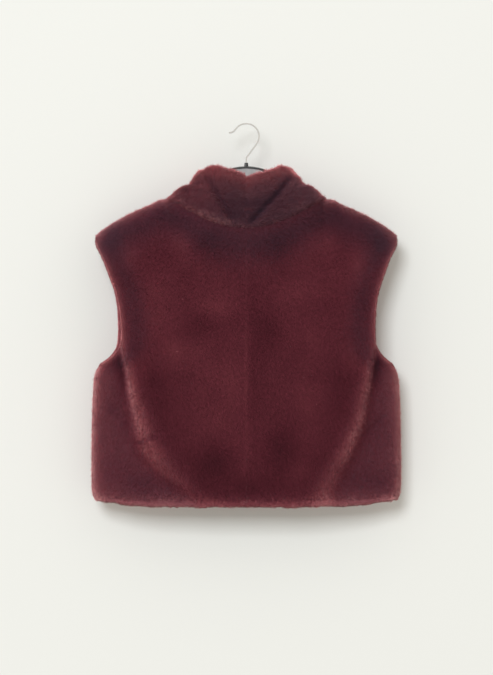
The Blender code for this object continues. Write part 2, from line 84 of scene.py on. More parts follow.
# Outer edge of a half panel, from the hem corner up to the shoulder tip
# columns: height, half width
OUTER_EDGE = (
    (-602, 240.5),
    (-597, 244.5),
    (-588, 247.2),
    (-575, 248.0),
    (-560, 248.3),
    (-480, 247.5),
    (-410, 244.5),
    (-396, 241.5),
    (-388, 238.0),
    (-380, 228.0),
    (-372, 218.5),
    (-360, 211.0),
    (-345, 206.5),
    (-330, 205.0),
    (-300, 206.0),
    (-270, 210.5),
    (-240, 220.5),
    (-210, 232.5),
    (-190, 242.5),
    (-183, 243.5),
    (-176.5, 241.0),
)

# Half width of the oval that the armhole is cut out of
# columns: height, half width
ARMHOLE_OVAL = (
    (-388, 238),
    (-384, 241),
    (-376, 241),
    (-360, 239),
    (-340, 238),
    (-300, 243),
    (-250, 264),
    (-200, 305),
    (-176.5, 330),
)

# Shoulder seam, from the neck out to the tip
# columns: half width, height
SHOULDER = (
    (126.0, -118.0),
    (134.8, -118.6),
    (154.0, -127.0),
    (173.0, -135.1),
    (192.0, -144.2),
    (211.6, -155.2),
    (230.8, -168.0),
    (241.0, -176.5),
)

# Depth of the cloth at the centre, from the hem to the neck
# columns: share of the height, depth
BACK_DEPTH = ((0.0, 50), (0.2, 58), (0.43, 60), (0.63, 56), (0.81, 50), (0.93, 49), (1.0, 52))
FRONT_DEPTH = ((0.0, 42), (0.2, 47), (0.43, 48), (0.63, 45), (0.81, 43), (0.93, 45), (1.0, 50))

# Drape folds: each runs from the underarm down and in, and the cloth outside it lies lower
# columns: height, half width at the fold, drop outside it, softness of the drop, painted light on it, its
# reach
BACK_FOLD_LEFT = (
    (-611, 62, 2, 40, 0.0, 24),
    (-585, 98, 5, 30, 0.05, 26),
    (-569, 122, 8, 24, 0.12, 28),
    (-553, 141, 11, 18, 0.17, 30),
    (-534, 157, 14, 14, 0.18, 30),
    (-513, 170, 16, 11, 0.18, 28),
    (-489, 176, 18, 9, 0.26, 23),
    (-460, 182, 19, 7, 0.26, 19),
    (-426, 189, 19, 5, 0.30, 14),
    (-394, 193, 17, 3.5, 0.25, 11),
    (-364, 200, 9, 3, 0.20, 9),
    (-335, 204, 0, 3, 0.0, 11),
)
BACK_FOLD_RIGHT = (
    (-611, 132, 9, 30, 0.13, 24),
    (-585, 138, 12, 22, 0.17, 24),
    (-567, 146, 14, 18, 0.18, 24),
    (-548, 155, 15, 15, 0.19, 23),
    (-527, 168, 17, 12, 0.24, 20),
    (-499, 179, 18, 10, 0.26, 18),
    (-472, 188, 18, 8, 0.27, 16),
    (-434, 195, 18, 5, 0.23, 14),
    (-413, 199, 17, 4, 0.23, 13),
    (-391, 202, 15, 3, 0.20, 11),
    (-366, 206, 9, 3, 0.13, 10),
    (-335, 207, 0, 3, 0.0, 12),
)
FRONT_FOLD = (
    (-611, 126, 6, 30, 0.10, 24),
    (-560, 150, 9, 20, 0.16, 24),
    (-500, 178, 11, 12, 0.20, 20),
    (-433, 197, 11, 7, 0.18, 15),
    (-364, 207, 4, 4, 0.06, 12),
    (-335, 209, 0, 4, 0.0, 12),
)

# Small creases, each a soft trough along a line
# columns: half width and height of its start, of its end, depth of the trough, softness, painted shade in
# the trough
BACK_CREASES_LEFT = (
    (172, -508, 138, -494, 1.6, 2.6, 0.20),
    (214, -452, 190, -476, 1.2, 4.0, 0.05),
)
BACK_CREASES_RIGHT = (
    (216, -470, 186, -500, 1.4, 4.5, 0.05),
)
FRONT_CREASES = (
    (176, -505, 142, -490, 1.5, 3.0, 0.10),
    (216, -440, 190, -468, 1.3, 4.0, 0.05),
)

# Collar: how it narrows and rises at the sides, where it slumps over the shoulder
# columns: share of its height, half width, share of the rise at the sides, back depth, front depth
COLLAR_SECTIONS = (
    (0.0, 126.0, 0.0, 52.0, 50.0),
    (0.2, 114.0, 0.28, 54.5, 52.0),
    (0.4, 102.5, 0.445, 55.0, 52.5),
    (0.55, 93.5, 0.49, 53.5, 51.5),
    (0.75, 86.5, 0.73, 50.0, 50.5),
    (0.9, 80.0, 0.92, 47.0, 49.5),
    (1.0, 77.0, 1.0, 45.0, 49.0),
)
# Top edge of the collar, round from the centre front past the back, which is at no angle
# columns: angle, height
COLLAR_TOP = (
    (-180, -122),
    (-135, -94),
    (-90, -70),
    (-64, -62.5),
    (-46, -62),
    (-28, -67),
    (-17, -70),
    (-8, -73),
    (-3, -76),
    (2, -79.5),
    (9, -76),
    (20, -72.8),
    (28, -70.5),
    (42, -66),
    (54, -62),
    (67, -62.5),
    (90, -66),
    (135, -94),
    (180, -122),
)
COLLAR_DENT = 9.0
COLLAR_DENT_ANGLE = 27.0
COLLAR_DENT_POWER = 1.5
COLLAR_FOOT_POWER = 4
# Two creases at the back of the collar run down and in, and the cloth between them sinks in
# columns: top across, top height, foot across, foot height, trough depth, softness, way in, its painted
# shade
COLLAR_CREASES = (
    (-71, -78, -27, -148, 2.6, 3.6, 1, 0.11),
    (78, -80, 17, -149, 4.0, 5.4, -1, 0.26),
)
CREASE_FOOT = 0.03
CREASE_FADE = 0.12
CREASE_SIDE_FADE = 4.0
COLLAR_SINK = 5.0
# Painted shade in the creases and between them, which fades towards the top
CREASE_SHADE_PLACE = 0.5
CREASE_SHADE_REACH = 0.9
SINK_SHADE = 0.06
SHADE_FADE_START = 0.6
SHADE_FADE_RUN = 0.35
SHADE_FADE = 0.8
# Depth of the pile outside, inside and over the top, and the least wall where the cloth sinks in
COLLAR_DEPTH = 3.4
COLLAR_INNER_DEPTH = 0.6 * COLLAR_DEPTH
COLLAR_TOP_DEPTH = 4.5
COLLAR_LEAST_WALL = 0.7 * WALL

# Fineness of the grids: of the backing, and of the skin that the pile grows from
CLOTH_COLUMNS = (32, 30)
CLOTH_ROWS = (34, 44)
SKIN_COLUMNS = (52, 48)
SKIN_ROWS = (60, 72)
COLLAR_CLOTH_GRID = (22, 180)
COLLAR_SKIN_GRID = (60, 360)
EDGE_TURNS = 7
SHARP_ANGLE = 65.0

# Pile: how many hairs grow on each piece, and their size
BACK_HAIRS = 95000
FRONT_HAIRS = 72000
COLLAR_HAIRS = 95000
HAIR_WIDTH = 0.85
LEAST_WIDTH = 0.75
WIDTH_SPREAD = 0.5
HAIR_THICKNESS = 0.04
STRAY_SHARE = 0.15
STRAY_LENGTH = 0.9

# Pile: lean along the nap, stand, raggedness and crowding, where a part differs from the plain habit
HAIR_STAND = 0.95
HAIR_RAGGED = 0.05
HAIR_CROWD = 1.0
PANEL_PILE = dict(lean=2.2)
EDGE_PILE = dict(lean=1.2, stand=1.2, ragged=0.3)
HEM_PILE = dict(lean=1.2, stand=1.2, ragged=0.7)
COLLAR_PILE = dict(lean=3.0, ragged=0.1, crowd=1.3)
COLLAR_INNER_PILE = dict(lean=3.0, crowd=0.6)
TOP_PILE = dict(lean=1.2, stand=1.2, ragged=0.4, crowd=1.3)
FOOT_PILE = dict(lean=3.2, stand=1.3, ragged=0.4, crowd=0.9)
FOOT_ROWS = 5
COLLAR_NAP_DROP = 0.2

# Pile: how the way and the size of hairs vary, in swirls and tufts and one by one
SWIRL_SIZE = 55.0
TUFT_SIZE = 5.0
TUFT_TURN_SIZE = 7.0
TUFT_TURN_PLACE = 300.0
SWIRL_TURN = 0.35
TUFT_TURN = 0.2
HAIR_TURN = 0.30
LEAN_SPREAD = 0.22
STAND_SPREAD = 0.12
HAIR_FACING = 0.25
HAIR_SPREAD = 0.12
PLACE_SPREAD = 0.4
SPREAD_STEPS = (0.7549, 0.5698)

# Pile: how the shade of hairs varies, and its place on their map
SWIRL_LIGHT = 0.02
TUFT_LIGHT = 0.2
SPECK_SIZE = 2.4
SHADE_SPREAD = 0.045
SPECK_SPREAD = 0.2
SHADE_STEP = 0.004
MOST_SHADE = 1 - 4 * SHADE_STEP
MAP_CORNERS = (0.0, 1.0, 0.5)

# Tones of the panels' pile: plain lightness, and the most grey haze, which is painted sheen
PANEL_SHADE = 0.46
MOST_SHEEN_HAZE = 0.9
# Painted rim light along the edges
EDGE_LIGHT = 0.4
RIM_SHEEN_HAZE = 0.3
RIM_UNEVEN = 0.2
RIM_CLOUD_SIZE = 8.0
RIM_CLOUD_SEED = 5
# Painted highlight on the ridge along the inner side of a fold
RIDGE_LIGHT = 1.25
RIDGE_SHEEN_HAZE = 1.2
RIDGE_SPECK = 1.1
RIDGE_PLACE = 0.35
RIDGE_SHARPNESS = 2.5
# Cloth outside a fold: a little lighter, and under a grey painted sheen
OUTSIDE_PLACE = 10.0
OUTSIDE_SOFTNESS = 12.0
OUTSIDE_LIGHT = 0.05
OUTSIDE_SHEEN_HAZE = 0.35
# Where the parts of a panel begin and how far they reach
ARMHOLE_SOFTNESS = 12.0
SHOULDER_START = 10.0
UNDERARM_SHADE_DROP = 2.0
UNDERARM_SHADE_REACH = 26.0
TIP_REACH = 16.0
TIP_DIMMING = 0.6
INNER_REACH = 40.0

# Bands of painted rim light, painted shade, grey painted sheen and specks along a panel's edges and folds
# columns: line that it runs along, part where it shows, place inside the line, reach, strength
RIM_LIGHT_BANDS = (
    ("edge", "all", 0.0, 9.0, 0.7),
    ("edge", "side", 0.0, 22.0, 0.38),
    ("edge", "side", 0.0, 6.0, -0.1),
    ("top", "shoulder", 0.0, 4.0, 0.45),
    ("top", "shoulder", 0.0, 13.0, 0.55),
    ("hem", "all", 0.0, 6.0, 0.3),
    ("hem", "all", 0.0, 16.0, 0.4),
)
BACK_RIM_LIGHT_BANDS = RIM_LIGHT_BANDS + (
    ("edge", "armhole", 0.0, 10.0, 0.1),
    ("edge", "armhole", 0.0, 5.0, 0.3),
)
FRONT_RIM_LIGHT_BANDS = RIM_LIGHT_BANDS + (
    ("edge", "armhole", 0.0, 12.0, -0.35),
)
# Painted shade: in the crease under the arm, inside the fold, and inside the armhole's and the shoulders'
# rims
PAINTED_SHADE_BANDS = (
    ("fold", "underarm_shade", -6.0, 7.0, -0.28),
    ("fold", "side", 46.0, 20.0, -0.06),
    ("edge", "inner_armhole", 28.0, 15.0, -0.10),
    ("top", "inner", 30.0, 24.0, -0.13),
)
SHEEN_HAZE_BANDS = (
    ("top", "all", 20.0, 38.0, 0.5),
    ("edge", "armhole", 26.0, 20.0, 0.3),
)
SPECK_BANDS = (
    ("hem", "all", 4.0, 9.0, 0.4),
    ("edge", "side", 8.0, 8.0, 0.12),
)

# Lines along the centre back seam
# columns: place across, reach, lift
CENTRE_SEAM_LINES = ((0.0, 1.6, 0.08), (11.0, 8.0, -0.04))
CENTRE_SEAM_MIDDLE = -380.0
CENTRE_SEAM_REACH = 170.0

# Slow unevenness of the panels' nap
# columns: size, seed, lift
NAP_WAVES = ((24.0, 3, 0.03), (60.0, 4, 0.03))

# Clouds of painted sheen and painted shade where the nap lies unevenly, and painted shade under the collar
# columns: place across, height, reach across, reach up, lift
BACK_SHEEN_CLOUDS = (
    (-189, -212, 20, 26, 0.10),
    (-100, -186, 20, 24, 0.09),
    (-44, -292, 30, 16, 0.12),
    (-146, -280, 36, 50, 0.07),
    (-108, -362, 28, 24, 0.08),
    (-55, -400, 32, 50, 0.07),
    (-16, -450, 26, 70, 0.06),
    (80, -270, 34, 28, 0.08),
    (108, -343, 22, 30, 0.06),
    (86, -430, 26, 30, 0.07),
    (126, -190, 22, 24, 0.09),
    (178, -232, 20, 30, 0.10),
    (86, -553, 20, 26, 0.06),
    (-146, -524, 20, 12, 0.09),
    (-64, -194, 22, 28, -0.08),
    (54, -198, 26, 30, -0.12),
    (-75, -318, 26, 20, -0.12),
    (35, -325, 20, 34, -0.11),
    (22, -400, 14, 60, -0.05),
    (-50, -538, 34, 30, -0.24),
    (55, -525, 28, 38, -0.20),
    (10, -582, 60, 26, -0.15),
    (106, -405, 9, 7, -0.08),
    (-143, -425, 26, 40, -0.06),
    (142, -417, 28, 50, -0.05),
    (201, -569, 36, 20, -0.08),
    (-165, -572, 34, 18, -0.08),
    (126, -156, 34, 22, -0.06),
    (-114, -145, 40, 24, -0.07),
    (-140, -205, 20, 24, -0.07),
    (160, -190, 20, 26, -0.06),
    (202, -325, 12, 50, -0.02),
    (238, -205, 14, 34, 0.09),
    (-238, -205, 14, 34, 0.07),
)
FRONT_SHEEN_CLOUDS = (
    (-120, -260, 40, 50, 0.07),
    (90, -300, 45, 40, 0.07),
    (-60, -420, 40, 55, -0.08),
    (130, -480, 45, 40, -0.07),
    (40, -240, 36, 44, -0.08),
    (-90, -540, 40, 30, -0.08),
    (60, -560, 34, 30, 0.05),
)

# Tones of the collar's pile, each with how much it adds where it shows: top and side are painted rim light
# columns: lightness, grey painted sheen
COLLAR_TONES = dict(
    plain=(0.48, 0.85),
    left=(0.09, -0.3),
    top=(0.29, -0.6),
    side=(0.2, -0.4),
    upper=(0.09, 0.0),
    streaks=(0.05, 0.0),
)
COLLAR_LEFT_PLACE = -50.0
COLLAR_LEFT_SOFTNESS = 25.0
COLLAR_TOP_REACH = 0.2
COLLAR_SIDE_REACH = 5.0
COLLAR_UPPER_PLACE = 0.68
COLLAR_UPPER_REACH = 0.18
STREAK_SIZE = 3.2
STREAK_SEED = 7
STREAK_STRETCH = (0.12, 0.12, 1.0)
COLLAR_INNER_SHADE = 0.36
# Hairs over the top fold: painted rim light, with little grey sheen, and some specks
TOP_SHADE = 0.86
TOP_SHEEN_HAZE = 0.08
TOP_SPECK = 0.15

# Painted light at the collar's foot: in the fringe that hangs over the seam, and in a band of specks above
# it
# columns: place across, reach, strength
FOOT_HIGHLIGHTS = ((-62.0, 50.0, 1.0), (76.0, 40.0, 0.3))
FOOT_SHADE = 0.50
FOOT_LIGHT = 0.30
FOOT_SPECK = 0.08
FOOT_HIGHLIGHT_SPECK = 0.22
BAND_PLACE = 0.07
BAND_REACH = 0.07
BAND_LIGHT = 0.22
BAND_SHEEN_HAZE = 0.3
BAND_SPECK = 0.30

# Shades of the fur from a crease's painted shade to a rim's painted light, plain and under a grey painted
# sheen
# columns: place in the run, red, green, blue
PLAIN_SHADES = (
    (0.0, 0.035, 0.007, 0.013),
    (0.15, 0.058, 0.010, 0.017),
    (0.3, 0.094, 0.015, 0.025),
    (0.45, 0.133, 0.024, 0.037),
    (0.65, 0.233, 0.050, 0.063),
    (0.85, 0.367, 0.100, 0.116),
    (1.0, 0.52, 0.18, 0.19),
)
SHEEN_HAZE_SHADES = (
    (0.0, 0.031, 0.020, 0.031),
    (0.15, 0.048, 0.026, 0.042),
    (0.4, 0.086, 0.037, 0.056),
    (0.65, 0.192, 0.078, 0.099),
    (0.85, 0.367, 0.150, 0.168),
    (1.0, 0.52, 0.25, 0.26),
)
FUR_COLOUR = PLAIN_SHADES[3][1:]
PILE_COLOUR = PLAIN_SHADES[2][1:]
# Painted shade deep in the pile: share of a hair's shade that shows, from its root to its tip
# columns: place along the hair, red, green, blue
ROOT_PAINTED_SHADE = ((0.0, 0.5, 0.5, 0.5), (0.5, 0.75, 0.75, 0.75), (1.0, 1.0, 1.0, 1.0))

# Shades of the backing, and of the hanger's plastics and wire
# columns: place in the run, red, green, blue
BACKING_SHADES = ((0.3, 0.036, 0.008, 0.013), (0.7, 0.064, 0.014, 0.021))
BLACK_SHADES = ((0.3, 0.010, 0.010, 0.011), (0.7, 0.018, 0.018, 0.020))
GREY_SHADES = ((0.3, 0.32, 0.32, 0.33), (0.7, 0.40, 0.40, 0.41))
BACKING_COLOUR = (0.05, 0.011, 0.017)
WIRE_COLOUR = (0.84, 0.84, 0.85)
GLOSS_SPREAD = 0.08

# Sockets of a node that mixes two colours
FIRST_COLOUR = 6
SECOND_COLOUR = 7
MIXED_COLOUR = 2

# The two faces of the garment
BACK = dict(
    toward=-1,
    centre_inset=SEAM_GAP / 2,
    open_centre=False,
    neck_depth=52.0,
    neck_dip=48.0,
    dip_power=2.4,
    depth=BACK_DEPTH,
    hem_rise=8.5,
    edge_shift=2.5,
    edge_tuck=0.0,
    creases=BACK_CREASES_RIGHT,
    rim_lights=BACK_RIM_LIGHT_BANDS,
    seam_lines=CENTRE_SEAM_LINES,
)
FRONT = dict(
    toward=1,
    centre_inset=FRONT_EDGE_GAP / 2 + WALL / 2,
    open_centre=True,
    neck_depth=50.0,
    neck_dip=85.0,
    dip_power=2.0,
    depth=FRONT_DEPTH,
    hem_rise=8.5,
    edge_shift=1.5,
    edge_tuck=0.0,
    creases=FRONT_CREASES,
    rim_lights=FRONT_RIM_LIGHT_BANDS,
    seam_lines=(),
)
# On the left the hem hangs lower. Low in that armhole the back's edge is tucked in, and the front's shows
BACK_LEFT = dict(BACK, hem_rise=7.0, edge_shift=1.5, edge_tuck=5.5, creases=BACK_CREASES_LEFT)
FRONT_LEFT = dict(FRONT, hem_rise=7.0, edge_shift=3.4)

# Cut of the pieces: flat width and length, and the flat area
BACK_CUT = dict(flat=(0.31, 0.52), area=0.118)
FRONT_CUT = dict(flat=(0.30, 0.52), area=0.112)

# Panels
# columns: node, side, face, fold, clouds of painted sheen and shade, number of hairs, seed, cut
PANELS = (
    ("back_left", -1, BACK_LEFT, BACK_FOLD_LEFT, BACK_SHEEN_CLOUDS, BACK_HAIRS, 10, BACK_CUT),
    ("back_right", 1, BACK, BACK_FOLD_RIGHT, BACK_SHEEN_CLOUDS, BACK_HAIRS, 20, BACK_CUT),
    ("front_left", -1, FRONT_LEFT, FRONT_FOLD, FRONT_SHEEN_CLOUDS, FRONT_HAIRS, 30, FRONT_CUT),
    ("front_right", 1, FRONT, FRONT_FOLD, FRONT_SHEEN_CLOUDS, FRONT_HAIRS, 40, FRONT_CUT),
)
COLLAR_SEED = 50

# Stage, light and camera, in metres
FLOOR_HEIGHT = -1.6
FLOOR_COLOUR = (0.93, 0.93, 0.92)
BACKDROP_PLACE = 0.058
BACKDROP_COLOUR = (0.775, 0.785, 0.775)
STAGE_REACH = 12.0
ROOM_COLOUR = (0.90, 0.86, 0.77)
ROOM_STRENGTH = 0.75
CAMERA_PLACE = (0.0004, -4.0, -0.3408)
CAMERA_LENS = 133.3
LIGHTS_AIM = (0.0, 0.0, -0.35)
# columns: name, place, size, power, colour
LIGHTS = (
    ("key", (-1.8, -9.0, 2.6), 3.0, 520.0, (0.95, 0.98, 1.0)),
    ("back_fill", (1.8, 9.0, 3.6), 3.0, 310.0, (1.0, 0.99, 0.97)),
    ("side_left", (-3.0, 0.5, 0.1), 0.8, 100.0, (1.0, 0.98, 0.95)),
    ("side_right", (3.0, 0.5, 0.1), 0.8, 30.0, (1.0, 0.98, 0.95)),
    ("top", (0.0, 1.4, 2.7), 1.5, 70.0, (1.0, 0.98, 0.95)),
)

# Columns of a drape fold's table, after its height
CREST, DROP, SOFTNESS, LIGHT, REACH = range(1, 6)

# Whole numbers that scramble the places on a lattice into random values
LATTICE_STEPS = np.array([374761393, 668265263, 1442695041])
SEED_STEP = 97531
SCRAMBLE_STEP = 1274126177
SCRAMBLE_SHIFTS = (13, 16)
MOST_RANDOM = 0xFFFF

SMALLEST = 1e-9
X_AXIS = np.array([1.0, 0.0, 0.0])
Z_AXIS = np.array([0.0, 0.0, 1.0])


# Shared curves and vectors


def through(table, at, column=1):
    """Smooth curve through a table's first column and the given one, with no overshoot between rows."""
    rows = np.array(table, float)
    x, y = rows[:, 0], rows[:, column]
    step = np.diff(x)
    rise = np.diff(y) / step
    slope = np.concatenate([rise[:1], np.zeros(len(x) - 2), rise[-1:]])
    same_way = rise[:-1] * rise[1:] > 0
    total = np.where(same_way, rise[:-1] + rise[1:], 1.0)
    slope[1:-1] = np.where(same_way, 2 * rise[:-1] * rise[1:] / total, 0.0)
    at = np.clip(at, x[0], x[-1])
    i = np.clip(np.searchsorted(x, at, side="right") - 1, 0, len(x) - 2)
    s = (at - x[i]) / step[i]
    rest = 1 - s
    ends = y[i] * rest**2 * (1 + 2 * s) + y[i + 1] * s**2 * (1 + 2 * rest)
    return ends + step[i] * s * rest * (slope[i] * rest - slope[i + 1] * s)


def unit(vectors):
    """The vectors at length one."""
    return vectors / np.maximum(np.linalg.norm(vectors, axis=-1, keepdims=True), SMALLEST)


def bell(distance, reach):
    """A soft bump: one at no distance, falling to almost nothing at twice the reach."""
    return np.exp(-((distance / reach) ** 2))


def cloud(points, size, seed):
    """Smooth noise from -1 to 1: random values on a lattice of this size, blended between its corners."""
    cell = points / size
    base = np.floor(cell).astype(np.int64)
    part = cell - base
    part = part * part * (3 - 2 * part)
    total = np.zeros(points.shape[:-1])
    for corner in itertools.product((0, 1), repeat=3):
        mixed = (base + corner) @ LATTICE_STEPS + seed * SEED_STEP
        mixed = (mixed ^ (mixed >> SCRAMBLE_SHIFTS[0])) * SCRAMBLE_STEP
        value = ((mixed ^ (mixed >> SCRAMBLE_SHIFTS[1])) & MOST_RANDOM) / MOST_RANDOM
        weight = np.prod(np.where(np.array(corner) == 1, part, 1 - part), axis=-1)
        total += weight * value
    return 2 * total - 1


# The panels' form


def neck_seam(angle, face):
    """Points of the neck seam on the +X side, by angle from the face's centre towards the shoulder."""
    inset = face["centre_inset"]
    x = inset + (NECK_HALF_WIDTH - inset) * np.sin(angle)
    cosine = np.clip(np.cos(angle), 0, 1)
    y = face["toward"] * (SEAM_GAP / 2 + face["neck_depth"] * cosine)
    z = NECK_HEIGHT - face["neck_dip"] * cosine ** face["dip_power"]
    return np.stack([x, y, z], axis=-1)


def neck_seam_normal(angle, face):
    """Outward direction of the cloth along the neck seam, which leans up over the shoulder."""
    out = np.stack([
        np.sin(angle) * face["neck_depth"],
        face["toward"] * np.cos(angle) * NECK_HALF_WIDTH,
        np.zeros_like(angle),
    ], axis=-1)
    return unit(unit(out) + SEAM_LEAN * np.sin(angle)[:, None] ** 2 * Z_AXIS)


def hem_height(x, face):
    """Height of the lowest points, half a wall above the hem, which waves and rises to its corners."""
    wave = HEM_WAVE * np.sin(x / HEM_WAVE_LENGTHS[0]) * np.cos(x / HEM_WAVE_LENGTHS[1])
    return HEM_CENTRE + WALL / 2 + face["hem_rise"] * (x / HEM_HALF_WIDTH) ** HEM_CORNER_POWER + wave


def neck_sine(x, face):
    """Sine of the angle along the neck seam at a half width, held at one past the seam's end."""
    inset = face["centre_inset"]
    return np.clip((x - inset) / (NECK_HALF_WIDTH - inset), 0, 1)


def top_height(x, face):
    """Height of a panel's top edge: the neck seam, then the shoulder seam."""
    cosine = np.sqrt(1 - neck_sine(x, face) ** 2)
    neck = NECK_HEIGHT - face["neck_dip"] * cosine ** face["dip_power"]
    return np.where(x < NECK_HALF_WIDTH, neck, through(SHOULDER, x))


def edge_width(z, face):
    """Half width of a panel's outer edge: the shared curve, moved out and tucked in along the armhole."""
    climb = np.clip((z - UNDERARM) / (SHOULDER[-1][1] - UNDERARM), 0, 1)
    shift = face["edge_shift"] * np.sin(math.pi * climb**EDGE_SHIFT_POWER)
    tuck = face["edge_tuck"] * np.sin(math.pi * climb**EDGE_TUCK_POWER) ** EDGE_TUCK_FADE
    return through(OUTER_EDGE, z) + shift - tuck


def oval_width(z):
    """Half width of the torso's oval: the side seam's, and above the underarm a plain one."""
    return np.where(z > UNDERARM, through(ARMHOLE_OVAL, z), through(OUTER_EDGE, z))


def fold_drop(x, z, fold):
    """How much lower the cloth lies outside a drape fold's crest: a smooth step across the crest."""
    crest, drop, soft = (through(fold, z, column) for column in (CREST, DROP, SOFTNESS))
    return drop * (1 + np.tanh((x - crest) / soft)) / 2


def crease_dips(x, z, creases):
    """Depth and painted shade of the small creases: a bell across each one's line, which fades out past its
    ends.
    """
    depth, shade = np.zeros(np.shape(x)), np.zeros(np.shape(x))
    for start_x, start_z, end_x, end_z, trough, soft, dark in creases:
        run, rise = end_x - start_x, end_z - start_z
        length = math.hypot(run, rise)
        along = ((x - start_x) * run + (z - start_z) * rise) / length
        off = ((x - start_x) * rise - (z - start_z) * run) / length
        past = along - np.clip(along, 0, length)
        dip = bell(off, soft) * bell(past, 2 * soft)
        depth, shade = depth + trough * dip, shade + dark * dip
    return depth, shade


def cloth_depth(x, z, face, fold):
    """Depth of the cloth from its side seams: an oval less folds and creases, closed by the shoulders."""
    x = abs(x)
    hem, top = hem_height(x, face), top_height(x, face)
    share = np.clip((z - hem) / (top - hem), 0, 1)
    out = np.clip(x / oval_width(z), 0, 1)
    oval = through(face["depth"], share) * (1 - out**OVAL_POWER) ** (1 / OVAL_POWER)
    dip = fold_drop(x, z, fold) + crease_dips(x, z, face["creases"])[0]
    oval = oval - dip * (1 - out**SIDE_FADE_POWER)
    neck = face["neck_depth"] * np.sqrt(1 - neck_sine(x, face) ** 2)
    return np.sqrt(np.maximum(neck**2 + (oval**2 - neck**2) * (1 - share**ROOF_POWER), 0))


def cloth_normals(x, z, face, fold):
    """Outward directions of the cloth from its slopes, read just inside its side and shoulder seams."""
    x = np.minimum(x, oval_width(z) - 2 * PROBE)
    z = np.minimum(z, top_height(x, face) - 2 * PROBE)
    across = cloth_depth(x + PROBE, z, face, fold) - cloth_depth(x - PROBE, z, face, fold)
    up = cloth_depth(x, z + PROBE, face, fold) - cloth_depth(x, z - PROBE, face, fold)
    return unit(np.stack([-across, np.full_like(x, 2 * PROBE * face["toward"]), -up], axis=-1))


def panel_surface(face, fold, columns, rows):
    """Outer points of a half panel on the +X side, its outward directions and its armhole rim's radii.

    Columns run from the centre along the neck and the shoulder; rows run from the hem up to those seams. The
    outer edge of each row lies on the outer edge's curve, less the radius of the rounded rim there.
    """
    neck_columns, shoulder_columns = columns
    side_rows, armhole_rows = rows
    tip = SHOULDER[-1][1]
    side = np.linspace(hem_height(OUTER_EDGE[0][1], face), UNDERARM, side_rows + 1)[:-1]
    swing = (1 - np.cos(np.linspace(0, math.pi, armhole_rows + 1))) / 2
    heights = np.concatenate([side, UNDERARM + swing * (tip - UNDERARM)])
    share = (heights - heights[0]) / (heights[-1] - heights[0])
    width = edge_width(heights, face)
    stand_off = cloth_depth(width, heights, face, fold) * (heights > UNDERARM)
    rim = np.minimum(WALL / 2, RIM_SHARE * stand_off)
    width = width - rim

    inset = face["centre_inset"]
    angles = np.linspace(0, math.pi / 2, neck_columns + 1)
    neck = neck_seam(angles, face)[:, 0]
    spread = np.sin(np.linspace(0, math.pi / 2, shoulder_columns + 1))[1:]
    top_x = np.concatenate([neck, NECK_HALF_WIDTH + spread * (width[-1] - NECK_HALF_WIDTH)])
    across = (top_x - inset) / (width[-1] - inset)
    x = inset + across * (width[:, None] - inset)
    hem = hem_height(x[0], face)
    z = hem + share[:, None] * (top_height(top_x, face) - hem)
    depth = cloth_depth(x, z, face, fold)
    depth[: side_rows + 1, -1] = 0.0
    outer = np.stack([x, face["toward"] * (SEAM_GAP / 2 + depth), z], axis=-1)

    out = cloth_normals(x, z, face, fold)
    out[: side_rows + 1, -1, 1] = 0.0
    out[-1, neck_columns:, 1] = 0.0
    out[:, 0, 0] = 0.0
    lean = np.concatenate([angles, np.full(shoulder_columns, math.pi / 2)])
    near_neck = bell(np.clip(top_x - NECK_HALF_WIDTH, 0, None), NECK_BLEND)
    near_top = np.clip((share - NECK_BLEND_START) / (1 - NECK_BLEND_START), 0, 1) ** 2
    weight = (near_top[:, None] * near_neck)[..., None]
    out = unit(unit(out) * (1 - weight) + neck_seam_normal(lean, face) * weight)
    return outer, out, rim


def panel_bulge(outer, out, rim, face):
    """How far a panel's rounded edges stand out at its hem, its armhole and an open centre front."""
    bulge = np.zeros_like(outer)
    edge_way = np.gradient(outer[:, -1], axis=0)
    bulge[:, -1] = -face["toward"] * unit(np.cross(edge_way, out[:, -1])) * rim[:, None]
    if face["open_centre"]:
        bulge[:, 0] -= X_AXIS * WALL / 2
    hem_swell = unit(outer[0] - outer[1]) * WALL / 2
    bulge[0] = (bulge[0] + hem_swell) * np.where(bulge[0].any(axis=-1), CORNER_SWELL, 1.0)[:, None]
    return bulge


# The collar's form


def collar_foot(angle):
    """Neck seam round from the centre back, the back's curve and then the front's, and its outward way."""
    turn = abs(angle)
    at_back = (turn <= math.pi / 2)[:, None]
    back_turn, front_turn = np.minimum(turn, math.pi / 2), np.minimum(math.pi - turn, math.pi / 2)
    foot = np.where(at_back, neck_seam(back_turn, BACK), neck_seam(front_turn, FRONT))
    out = np.where(at_back, neck_seam_normal(back_turn, BACK), neck_seam_normal(front_turn, FRONT))
    side = np.stack([np.sign(angle), np.ones_like(angle), np.ones_like(angle)], axis=-1)
    return foot * side, out * side


